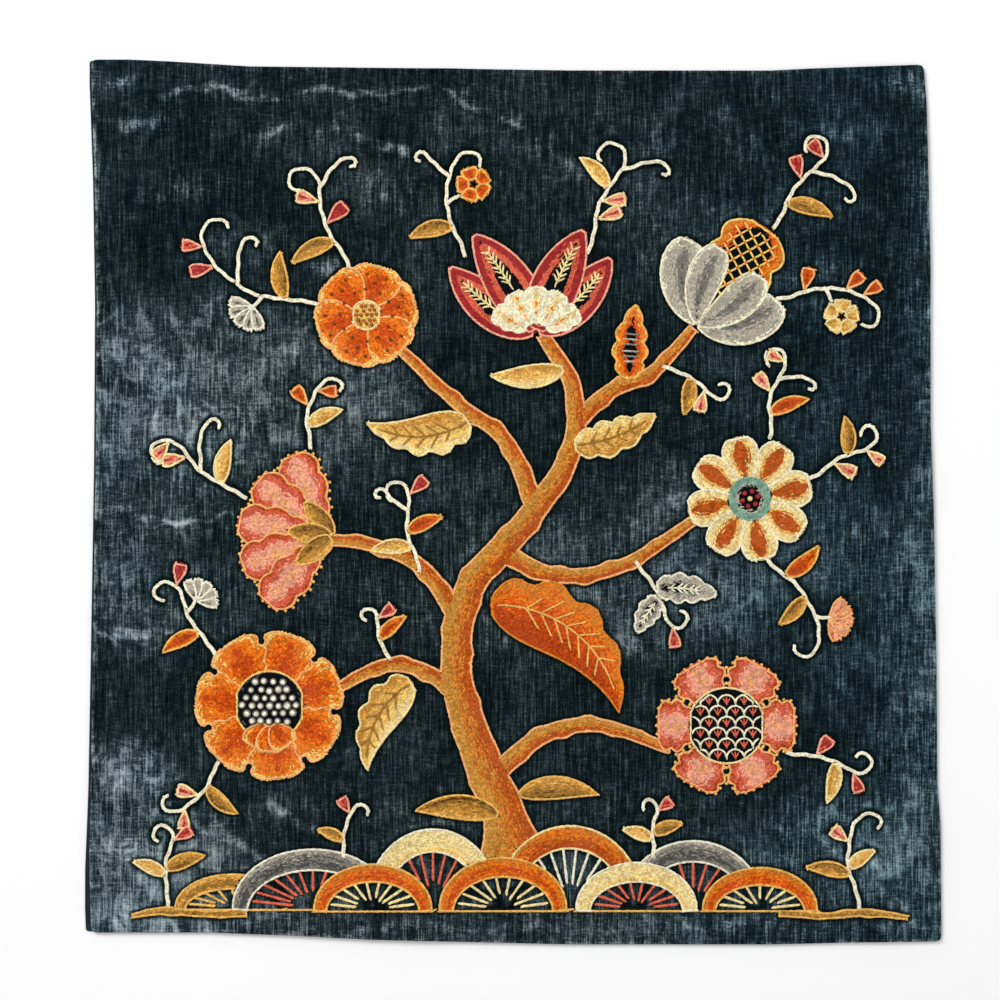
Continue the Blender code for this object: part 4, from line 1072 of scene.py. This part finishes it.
def work_lattice(work, band, over, rng, first, last, share_of_width, pitch):
    """Threads laid both ways over the dark heart of a petal, tied down where they cross."""
    line, left, right, share = finer(band, 1.0)
    cut = (share >= first) & (share <= last)
    left, right = left[cut] * share_of_width, right[cut] * share_of_width
    window = outline(band._replace(line=line[cut], left=left, right=right))
    middle, _, _, _ = at_share(band, (first + last) / 2)
    reach = np.arange(-40, 40.1, 0.5)
    for tilt in (0.5, 0.5 + math.pi / 2):
        along = np.array([math.cos(tilt), math.sin(tilt)])
        side = np.array([-math.sin(tilt), math.cos(tilt)])
        for k in range(-8, 9):
            path = middle + side * k * pitch + reach[:, None] * along
            for a, b in runs_of(inside(path[:, 0], path[:, 1], window)):
                if b - a > 4:
                    work.thread(path[a:b], "pale_yellow", rng, over)
    for i in range(-8, 9):
        for j in range(-8, 9):
            x, y = middle + pitch * (i * along + j * side)
            if inside(np.array([x]), np.array([y]), window)[0]:
                work.knot(x, y, 0.9, "orange", over, OVER + 0.4)


def work_dots(work, band, over, yarn):
    for share, lean in ((0.42, -0.34), (0.42, 0.34), (0.62, 0), (0.76, -0.4), (0.76, 0.4)):
        place, heading, left, _ = at_share(band, share)
        side = np.array([-math.sin(heading), math.cos(heading)])
        work.knot(*(place + lean * left * side), SMALL_KNOT, yarn, over)


def work_picots(work, band, others, yarn):
    """Small knots on the velvet, just outside a petal's edge."""
    line, left, right, _ = finer(band, 1.0)
    edge = outline(band._replace(line=line, left=left + PICOT_OUT, right=right + PICOT_OUT))
    x, y, _, _ = resample(edge, PICOT_PITCH)
    for k in np.flatnonzero(~hidden(x, y, others)):
        work.knot(x[k], y[k], SMALL_KNOT, yarn, (), SUNK)


def work_hollow(work, arch, over, rng):
    """Rays of yarn from the foot of a hillock to its crest, and a thread along its base."""
    inner_x, inner_y = arch.half_width - arch.thickness - 1.2, arch.height - arch.thickness - 0.8
    for angle in np.linspace(math.radians(10), math.radians(170), int(arch.half_width / RAY_PITCH)):
        far = np.array([inner_x * math.cos(angle), inner_y * math.sin(angle)])
        near = RAY_START + 0.06 * rng.standard_normal()
        path = np.array([arch.x, arch.y + 1]) + np.linspace(near, 1, 12)[:, None] * far
        work.thread(path, RAY_YARN[arch.yarn], rng, over, RAY_WIDTH, SUNK)
    base = np.linspace(-arch.half_width + 1, arch.half_width - 1, 40)
    path = np.stack([arch.x + base, np.full(40, arch.y - 0.4)], axis=1)
    work.thread(path, "gold", rng, over, BASE_THREAD, SUNK)


# Meshes of wool

def grain_mesh(grains):
    x, y, angle, length, width, height, foot, yarn = grains.T
    ax = np.repeat(GRAIN_ALONG, 4) * length[:, None]
    sx = (GRAIN_SWELL[:, None] * GRAIN_ROUND[:, 0]).ravel() * width[:, None]
    up = ((0.45 + 0.55 * GRAIN_SWELL[:, None]) * GRAIN_ROUND[:, 1]).ravel() * height[:, None]
    c, s = np.cos(angle)[:, None], np.sin(angle)[:, None]
    px, py = x[:, None] + ax * c - sx * s, y[:, None] + ax * s + sx * c
    places = np.stack([px, py, velvet_top(px, py) + foot[:, None] + up], axis=-1).reshape(-1, 3)
    corners = [4 * i + j for i in range(3) for j in range(3)]
    quads = np.array([(k + 4, k + 5, k + 1, k) for k in corners])
    faces = (quads + 16 * np.arange(len(x))[:, None, None]).reshape(-1, 4)
    return places, faces, np.repeat(yarn.astype(int), len(quads))


def knot_mesh(knots):
    """French knots: low round buttons of wool."""
    x, y, radius, foot, yarn, crown = np.array(knots).T
    turn = 2 * math.pi * np.arange(KNOT_SIDES) / KNOT_SIDES
    ring, rise = (np.repeat(c, KNOT_SIDES) for c in zip(*KNOT_RINGS))
    turn = np.tile(turn, len(KNOT_RINGS))
    px = x[:, None] + radius[:, None] * ring * np.cos(turn)
    py = y[:, None] + radius[:, None] * ring * np.sin(turn)
    pz = velvet_top(px, py) + foot[:, None] + 0.9 * radius[:, None] * rise
    places = np.stack([px, py, pz], axis=-1).reshape(-1, 3)
    n = KNOT_SIDES
    quads = [
        (n * i + j, n * i + (j + 1) % n, n * i + n + (j + 1) % n, n * i + n + j)
        for i in range(3) for j in range(n)
    ]
    quads += [(3 * n, 3 * n + 1, 3 * n + 2, 3 * n + 3), (3 * n + 3, 3 * n + 4, 3 * n + 7, 3 * n)]
    quads.append((3 * n + 4, 3 * n + 5, 3 * n + 6, 3 * n + 7))
    faces = (np.array(quads) + n * len(KNOT_RINGS) * np.arange(len(x))[:, None, None]).reshape(-1, 4)
    sides = 2 * n
    below, above = np.tile(yarn[:, None], sides), np.tile(crown[:, None], len(quads) - sides)
    return places, faces, np.concatenate([below, above], axis=1).astype(int).ravel()


def bed_yarns(band, middles, offset, left, right, share):
    """The yarn of each cell of a bed, which is the one that is worked over it."""
    if band.form == "stem":
        return np.full(offset.shape, YARN_NUMBER["white"])
    half = np.maximum((left + right) / 2, 0.1)
    aside = offset - ((left - right) / 2)[:, None]
    depth = (half[:, None] - np.abs(aside)) / half.max()
    if band.form == "disc":
        depth = 1 - np.linalg.norm(middles - band.line.mean(axis=0), axis=2) / half.max()
    shade = shade_of(band)
    return yarn_at(shade, scale_place(shade, aside / half[:, None], depth, share[:, None]))


def bed_mesh(band, over, lift):
    """The bed under a band's stitches: small cells of wool, with a skirt into the velvet round them."""
    line, left, right, share = finer(band, BED_CELL)
    side = across(line)
    count = max(2, int(math.ceil((left + right).max() / BED_CELL)))
    part = np.linspace(0, 1, count + 1)
    offset = np.maximum(left, 0.05)[:, None] * (1 - part) - np.maximum(right, 0.05)[:, None] * part
    grid = line[:, None, :] + side[:, None, :] * offset[..., None]
    middles = (grid[:-1, :-1] + grid[1:, :-1] + grid[1:, 1:] + grid[:-1, 1:]) / 4
    kept = ~hidden(middles[..., 0].ravel(), middles[..., 1].ravel(), over).reshape(middles.shape[:2])
    index = np.arange(len(line) * (count + 1)).reshape(grid.shape[:2])
    flat = grid.reshape(-1, 2)
    z = velvet_top(flat[:, 0], flat[:, 1])
    n = len(flat)
    upper, lower = np.column_stack([flat, z + BED_HEIGHT + lift]), np.column_stack([flat, z - BED_SKIRT])
    padded = np.pad(kept, 1)
    mean = [(column[1:] + column[:-1]) / 2 for column in (left, right, share)]
    yarns = bed_yarns(band, middles, (offset[:-1, :-1] + offset[1:, 1:]) / 2, *mean)
    faces, worked = [], []
    for i, j in np.argwhere(kept):
        a, b, c, d = index[i, j], index[i + 1, j], index[i + 1, j + 1], index[i, j + 1]
        faces.append((d, c, b, a))
        for (di, dj), (p, q) in (((0, -1), (a, b)), ((1, 0), (b, c)), ((0, 1), (c, d)), ((-1, 0), (d, a))):
            if not padded[i + 1 + di, j + 1 + dj]:
                faces.append((p, q, q + n, p + n))
        worked += [yarns[i, j]] * (len(faces) - len(worked))
    yarns = len(YARN_NAMES) + np.array(worked, int)
    return np.vstack([upper, lower]), np.array(faces).reshape(-1, 4), yarns


def wool_object(node, parts):
    places, faces, yarns, count = [], [], [], 0
    for part_places, part_faces, part_yarns in parts:
        places.append(part_places)
        faces.append(part_faces + count)
        yarns.append(part_yarns)
        count += len(part_places)
    places, faces, yarns = np.concatenate(places), np.concatenate(faces), np.concatenate(yarns)
    used, where = np.unique(faces, return_inverse=True)
    mesh = bpy.data.meshes.new(node + "_wool")
    mesh.from_pydata((places[used] * MM).tolist(), [], where.reshape(faces.shape).tolist())
    kinds, slots = np.unique(yarns, return_inverse=True)
    mesh.polygons.foreach_set("material_index", slots.astype(np.int32))
    for kind in kinds:
        mesh.materials.append(wool_material(YARN_NAMES[kind % len(YARN_NAMES)], kind >= len(YARN_NAMES)))
    mesh.shade_smooth()
    mesh.update()
    obj = bpy.data.objects.new(node + "_wool", mesh)
    bpy.context.scene.collection.objects.link(obj)
    return obj


# Materials

def linear(colour):
    return [((c / 255 + 0.055) / 1.055) ** 2.4 if c > 10 else c / 255 / 12.92 for c in colour]


class Nodes:
    """A material and short ways to add nodes to it. A number or a socket can stand for any value."""

    def __init__(self, name):
        self.material = bpy.data.materials.new(name)
        self.material.use_nodes = True
        self.tree = self.material.node_tree
        self.shader = self.tree.nodes["Principled BSDF"]
        self.object_place = self.add("ShaderNodeTexCoord").outputs["Object"]

    def add(self, kind, **inputs):
        node = self.tree.nodes.new(kind)
        for name, value in inputs.items():
            self.put(node.inputs[name.replace("_", " ")], value)
        return node

    def put(self, socket, value):
        if isinstance(value, bpy.types.NodeSocket):
            self.tree.links.new(value, socket)
        else:
            socket.default_value = value

    def place(self, stretch=(1, 1, 1), turn=0.0):
        rotation = (0, 0, math.radians(turn))
        node = self.add("ShaderNodeMapping", Vector=self.object_place, Scale=stretch, Rotation=rotation)
        return node.outputs["Vector"]

    def noise(self, scale, stretch=(1, 1, 1), detail=2.0, rough=0.5, turn=0.0, distortion=0.0):
        inputs = {"Scale": scale, "Detail": detail, "Roughness": rough, "Distortion": distortion}
        return self.add("ShaderNodeTexNoise", Vector=self.place(stretch, turn), **inputs).outputs["Fac"]

    def ranged(self, value, low, high, to_low=0.0, to_high=1.0):
        ends = {"From_Min": low, "From_Max": high, "To_Min": to_low, "To_Max": to_high}
        node = self.add("ShaderNodeMapRange", Value=value, **ends)
        node.interpolation_type = "SMOOTHSTEP"
        return node.outputs["Result"]

    def maths(self, kind, a, b):
        node = self.add("ShaderNodeMath")
        node.operation = kind
        self.put(node.inputs[0], a)
        self.put(node.inputs[1], b)
        return node.outputs["Value"]

    def total(self, *parts):
        """The sum of values, each times its weight."""
        out = None
        for value, weight in parts:
            part = self.maths("MULTIPLY", value, weight)
            out = part if out is None else self.maths("ADD", out, part)
        return out

    def attribute(self, name):
        node = self.add("ShaderNodeAttribute")
        node.attribute_name = name
        return node.outputs["Fac"]

    def mixed(self, share, a, b, blend="MIX"):
        node = self.add("ShaderNodeMix")
        node.data_type = "RGBA"
        node.blend_type = blend
        self.put(node.inputs["Factor"], share)
        for socket, value in ((node.inputs[6], a), (node.inputs[7], b)):
            self.put(socket, value if isinstance(value, bpy.types.NodeSocket) else (*value, 1))
        return node.outputs[2]

    def bump(self, height, distance, strength):
        node = self.add("ShaderNodeBump", Height=height, Distance=distance, Strength=strength)
        self.put(self.shader.inputs["Normal"], node.outputs["Normal"])

    def finish(self, **inputs):
        for name, value in inputs.items():
            self.put(self.shader.inputs[name.replace("_", " ")], value)
        return self.material


def wool_material(name, under):
    """Twisted wool: each stitch a little lighter or darker than the next, and fine fibres over them all."""
    full_name = ("bed_" if under else "wool_") + name
    found = bpy.data.materials.get(full_name)
    if found:
        return found
    nodes = Nodes(full_name)
    # A bed is its yarn darkened: painted shade in the gaps between the stitches
    base = np.array(linear(YARNS[name])) * (BED_PAINTED_SHADE if under else 1)
    cells = nodes.add("ShaderNodeTexVoronoi", Vector=nodes.object_place, Scale=720)
    stitch = nodes.add("ShaderNodeSeparateColor", Color=cells.outputs["Color"]).outputs["Red"]
    fibre = nodes.noise(2600, detail=2.0)
    broad = nodes.noise(42, detail=2.0)
    light = tuple(np.minimum(1, base * 1.25))
    faded = tuple(np.minimum(1, base * 0.94 + base.mean() * 0.08))
    colour = nodes.mixed(nodes.ranged(stitch, 0.0, 1.0), tuple(base * 0.7), light)
    colour = nodes.mixed(nodes.ranged(fibre, 0.54, 0.78, 0.0, 0.4), colour, tuple(base * 0.4))
    colour = nodes.mixed(nodes.ranged(broad, 0.35, 0.65, 0.0, 0.4), colour, faded)
    nodes.bump(fibre, 0.0002, 0.5)
    rough = nodes.ranged(fibre, 0.2, 0.8, 0.75, 0.95)
    return nodes.finish(
        Base_Color=colour, Roughness=rough, Sheen_Weight=0.03, Sheen_Roughness=0.5, Specular_IOR_Level=0.05,
    )


def velvet_material():
    """Ribbed cotton velvet: fine upright slubs, crossed by weft lines where the pile is rubbed away, with
    painted sheen where the pile lies flattened, painted highlights along the creases and painted shade
    beside the wool.
    """
    nodes = Nodes("velvet")
    haze, wear, painted_stitch_shade = (nodes.attribute(name) for name in ("haze", "wear", "painted_stitch_shade"))
    slubs = nodes.ranged(nodes.noise(1.0, (740, 30, 1), 3.0, 0.6), 0.38, 0.68)
    threads = nodes.ranged(nodes.noise(1.0, (1300, 80, 1), 2.0, 0.5), 0.36, 0.66)
    flecks = nodes.ranged(nodes.noise(1.0, (110, 800, 1), 3.0, 0.6), 0.42, 0.72)
    weft = nodes.ranged(nodes.noise(1.0, (42, 520, 1), 4.0, 0.6), 0.44, 0.70)
    pile = nodes.ranged(nodes.noise(900, detail=2.0, rough=0.6), 0.36, 0.66)
    clouds = nodes.noise(18, detail=4.0, rough=0.6, distortion=0.6)
    crush = nodes.noise(85, (1, 0.8, 1), 5.0, 0.66, 25, 1.0)
    # Patches of crushed pile, painted lighter as their sheen
    crushed_sheen = nodes.ranged(crush, 0.46, 0.74)
    mottle = nodes.ranged(nodes.noise(1.0, (150, 190, 1), 3.0, 0.6), 0.36, 0.68)
    broken = nodes.total((clouds, 0.5), (crush, 1.0))
    # Wear, with the painted highlights along the creases, broken up by the clouds and the crush
    wear = nodes.maths("MULTIPLY", wear, nodes.ranged(broken, 0.55, 0.95, 0.15, 1.35))
    crossed = nodes.maths("MULTIPLY", weft, nodes.ranged(wear, 0.1, 0.7))
    texture = nodes.total((slubs, 0.20), (threads, 0.14), (flecks, 0.11), (pile, 0.12))
    wear_and_highlight_texture = nodes.total((texture, 0.8), (crossed, 0.22), (crushed_sheen, 0.22))
    wear_and_highlight_texture = nodes.maths("MULTIPLY", wear, wear_and_highlight_texture)
    # Painted sheen of the pile's lay, with a texture of its own
    sheen_texture = nodes.total((texture, 0.85), (crushed_sheen, 0.35), (weft, 0.3))
    sheen_texture = nodes.maths("MULTIPLY", haze, sheen_texture)
    scale = nodes.total(
        (texture, 1.0), (mottle, 0.09), (nodes.ranged(clouds, 0.36, 0.66), 0.11), (crushed_sheen, 0.10),
        (haze, 0.50), (sheen_texture, 1.0), (wear, 0.17), (wear_and_highlight_texture, 1.0),
    )
    scale = nodes.maths("SUBTRACT", scale, 0.055)
    bright = nodes.maths("MAXIMUM", nodes.maths("SUBTRACT", scale, 0.72), 0.0)
    scale = nodes.maths("SUBTRACT", scale, nodes.maths("MULTIPLY", bright, 0.5))
    # Painted shade: the velvet is darkened beside the wool
    scale = nodes.maths("MULTIPLY", scale, nodes.ranged(painted_stitch_shade, 0.0, 1.0, 1.0, 0.35))
    ramp = nodes.add("ShaderNodeValToRGB", Fac=scale)
    stops = ramp.color_ramp.elements
    while len(stops) < len(VELVET_COLOURS):
        stops.new(0.5)
    for stop, (place, colour) in zip(stops, VELVET_COLOURS):
        stop.position = place
        stop.color = (*linear(colour), 1)
    warmer = nodes.mixed(1.0, ramp.outputs["Color"], (1.07, 0.98, 1.0), "MULTIPLY")
    cooler = nodes.mixed(1.0, ramp.outputs["Color"], (0.86, 1.0, 1.15), "MULTIPLY")
    from_middle = nodes.add("ShaderNodeSeparateXYZ", Vector=nodes.object_place).outputs["X"]
    left_side = nodes.ranged(from_middle, -0.22, -0.13, 0.4, 0.0)
    sides = (left_side, 1.0), (nodes.ranged(from_middle, 0.0, 0.22), 0.9)
    cool = nodes.total(*sides, (nodes.ranged(nodes.noise(26, detail=2.0), 0.42, 0.62), 0.2))
    colour = nodes.mixed(cool, warmer, cooler)
    nodes.bump(nodes.total((threads, 0.3), (crush, 0.5), (slubs, 0.3), (pile, 0.3)), 0.0005, 0.5)
    return nodes.finish(
        Base_Color=colour, Roughness=nodes.ranged(threads, 0.0, 1.0, 0.95, 0.8),
        Sheen_Weight=0.03, Sheen_Roughness=0.4, Specular_IOR_Level=0.02,
    )


def backing_material():
    """Plain-woven dark cotton, its two sets of threads crossing."""
    nodes = Nodes("plain_cloth")
    threads = (nodes.noise(1.0, stretch, 1.0) for stretch in ((2400, 90, 1), (90, 2400, 1)))
    weave = nodes.maths("MAXIMUM", *threads)
    faded = nodes.ranged(nodes.noise(25, detail=3.0), 0.35, 0.7, 0.0, 0.3)
    colour = nodes.mixed(nodes.ranged(weave, 0.35, 0.75), linear((8, 14, 16)), linear((40, 50, 54)))
    colour = nodes.mixed(faded, colour, linear((66, 72, 74)))
    nodes.bump(weave, 0.0003, 0.5)
    rough = nodes.ranged(weave, 0.3, 0.8, 0.8, 0.98)
    return nodes.finish(Base_Color=colour, Roughness=rough, Specular_IOR_Level=0.15)


def floor_material():
    nodes = Nodes("pale_floor")
    grain = nodes.noise(6, detail=3.0)
    return nodes.finish(Base_Color=nodes.mixed(grain, (0.9, 0.9, 0.9), (0.92, 0.92, 0.92)), Roughness=0.9)


# Making the model

def backing_top(x, y):
    return np.full(x.shape, BACKING_THICK)


def make_cloths(loops):
    backing = sheet_object("backing_cloth", BACKING_LEFT, backing_top, BACKING_THICK, BACKING_PITCH)
    backing.data.materials.append(backing_material())
    velvet = sheet_object("velvet_face", LEFT, velvet_top, VELVET_THICK, VELVET_PITCH)
    age_velvet(velvet, loops)
    velvet.data.materials.append(velvet_material())
    for piece, node, slot in ((backing, "backing", "plain_cloth"), (velvet, "velvet", "velvet")):
        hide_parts(node)
        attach(piece, "root")


def work_details(work, band, over, rng):
    """The small stitches that some leaves and petals carry over their fill."""
    kind = (band.node, band.form)
    if kind == ("lily", "pointed"):
        work_fern(work, band, over, rng, 0.42, 0.80, "cream")
    elif kind == ("sprig_grey", "serrate"):
        work_fern(work, band, over, rng, 0.20, 0.72, "ivory")
    elif band.node == "leaf_flame_top":
        work_bars(work, band, over, rng, 0.26, 0.64, 3.2, ("blue_grey", "grey"))
    elif band.node == "leaf_great":
        work_veins(work, band, over, rng, "gold", 9)
    elif band.node in ("leaf_gold_left", "leaf_gold_up", "leaf_gold_right"):
        work_veins(work, band, over, rng, "olive_gold", 8)
    elif kind == ("lotus", "frill"):
        work_lattice(work, band, over, rng, 0.14, 0.93, 0.74, 5.6)
    elif kind == ("dotted_flower", "petal"):
        work_dots(work, band, over, "brown")


def work_middle(work, disc, over, rng):
    """What fills the middle of a flower."""
    if disc.node == "peony":
        # Grey knots with white crowns: the white crown is a painted highlight on each knot's top
        work_pearls(work, disc, over, rng, 5.4, 2.3, "grey", "white")
    elif disc.node == "pomegranate":
        work_scales(work, disc, over, rng, 10.5)
    elif disc.node == "star_flower":
        for k in range(6):
            angle = math.radians(60 * k + 15)
            work.knot(disc.x + 4.6 * math.cos(angle), disc.y + 4.6 * math.sin(angle), 1.5, "crimson", over)
        work.knot(disc.x, disc.y, 1.6, "cream", over)
    elif disc.node == "dotted_flower":
        work_pearls(work, disc, over, rng, 3.2, 1.1, "brown", "deep_orange")


def own_boughs(bands, loops, k):
    """For a stretch of bark: the trunk a little inside its edge, for a bough, and the other stretches."""
    band = bands[k]
    if band.form != "ribbon":
        return [], []
    trunk = [] if k == 0 or band.node != bands[0].node else [inner_outline(bands[0], EDGE_ROW)]
    others = [loops[j] for j in range(len(TREE)) if j != k and bands[j].node == band.node]
    return trunk, others


def later_covers(bands, loops, covers, k):
    """The covers of what is worked after a band and comes near it. Bark doesn't cover its own tree."""
    low, high = loops[k].min(axis=0) - 1, loops[k].max(axis=0) + 1
    over = []
    for later, cover in zip(bands[k + 1 :], covers[k + 1 :]):
        own_bark = bands[k].form == "ribbon" and later.node == bands[k].node
        if not own_bark and np.all(cover.max(axis=0) > low) and np.all(cover.min(axis=0) < high):
            over.append(cover)
    return over


def make_wool(bands, loops):
    arches = [HILLOCKS[k - len(TREE)] if band.form == "arch" else None for k, band in enumerate(bands)]
    covers = [loop if arch is None else mound(arch) for loop, arch in zip(loops, arches)]
    discs = {piece.node: piece for piece in FLOWERS if isinstance(piece, Disc)}
    slots = {part["node"]: part["material_slot"] for part in frame["record"]["subparts"]}
    works, beds = defaultdict(Work), defaultdict(list)
    for k, band in enumerate(bands):
        rng = np.random.default_rng(SEED + k)
        work = works[band.node]
        over = later_covers(bands, loops, covers, k)
        lift = BED_STEP * (k % BED_STEPS)
        if band.form == "stem":
            thin = slim(band, k)
            beds[band.node].append(bed_mesh(thin, over, lift))
            work_stem(work, thin, over, rng)
            continue
        trunk, others = own_boughs(bands, loops, k)
        over = over + trunk
        beds[band.node].append(bed_mesh(band, over, lift))
        work_fill(work, band, over, over + others, rng)
        work_details(work, band, over, rng)
        if band.form == "disc":
            work_middle(work, discs[band.node], over, rng)
        if band.form == "arch":
            work_hollow(work, arches[k], covers[k + 1 :], rng)
        if (band.node, band.form) in PICOTS:
            work_picots(work, band, loops[:k] + loops[k + 1 :], PICOTS[band.node, band.form])
    total = 0
    for node, work in works.items():
        parts = beds[node] + [grain_mesh(np.concatenate(work.grains))]
        if work.knots:
            parts.append(knot_mesh(work.knots))
        piece = wool_object(node, parts)
        piece.data.calc_loop_triangles()
        count = len(piece.data.loop_triangles)
        if count > MOST_TRIANGLES:
            raise ValueError(f"{node} has {count} triangles")
        total += count
        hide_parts(node)
        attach(piece, "root")
        slots[node]
    print("triangles of wool:", total)


def make_stage():
    bpy.ops.mesh.primitive_plane_add(size=FLOOR_SIZE, location=(0, 0, -FLOOR_DROP))
    floor = bpy.context.object
    floor.name = "floor"
    floor.data.materials.append(floor_material())
    for name, place, size, power in LIGHTS:
        light = bpy.data.lights.new(name, "AREA")
        light.size = size
        light.energy = power
        lamp = bpy.data.objects.new(name, light)
        lamp.location = place
        lamp.rotation_euler = (-Vector(place)).to_track_quat("-Z", "Y").to_euler()
        bpy.context.scene.collection.objects.link(lamp)
    world = bpy.data.worlds.new("studio")
    bpy.context.scene.world = world
    world.use_nodes = True
    background = world.node_tree.nodes["Background"]
    background.inputs["Color"].default_value = (1, 1, 1, 1)
    background.inputs["Strength"].default_value = WORLD_STRENGTH
    bpy.context.scene.view_settings.view_transform = "Standard"


def make_camera():
    """Straight above the panel, so that the frame takes in what the photo does."""
    data = bpy.data.cameras.new("camera")
    data.lens = LENS
    camera = bpy.data.objects.new("camera", data)
    half_frame = MM_PER_PIXEL * PHOTO_SIDE / 2 * MM
    reach = half_frame / (data.sensor_width / 2 / LENS)
    left, up = PHOTO_SIDE / 2 - PANEL_PIXEL[0], PANEL_PIXEL[1] - PHOTO_SIDE / 2
    camera.location = (left * MM_PER_PIXEL * MM, up * MM_PER_PIXEL * MM, reach)
    bpy.context.scene.collection.objects.link(camera)
    bpy.context.scene.camera = camera


make_camera()
make_stage()
work_order = all_bands()
outlines = [outline(band) for band in work_order]
make_cloths(outlines)
make_wool(work_order, outlines)
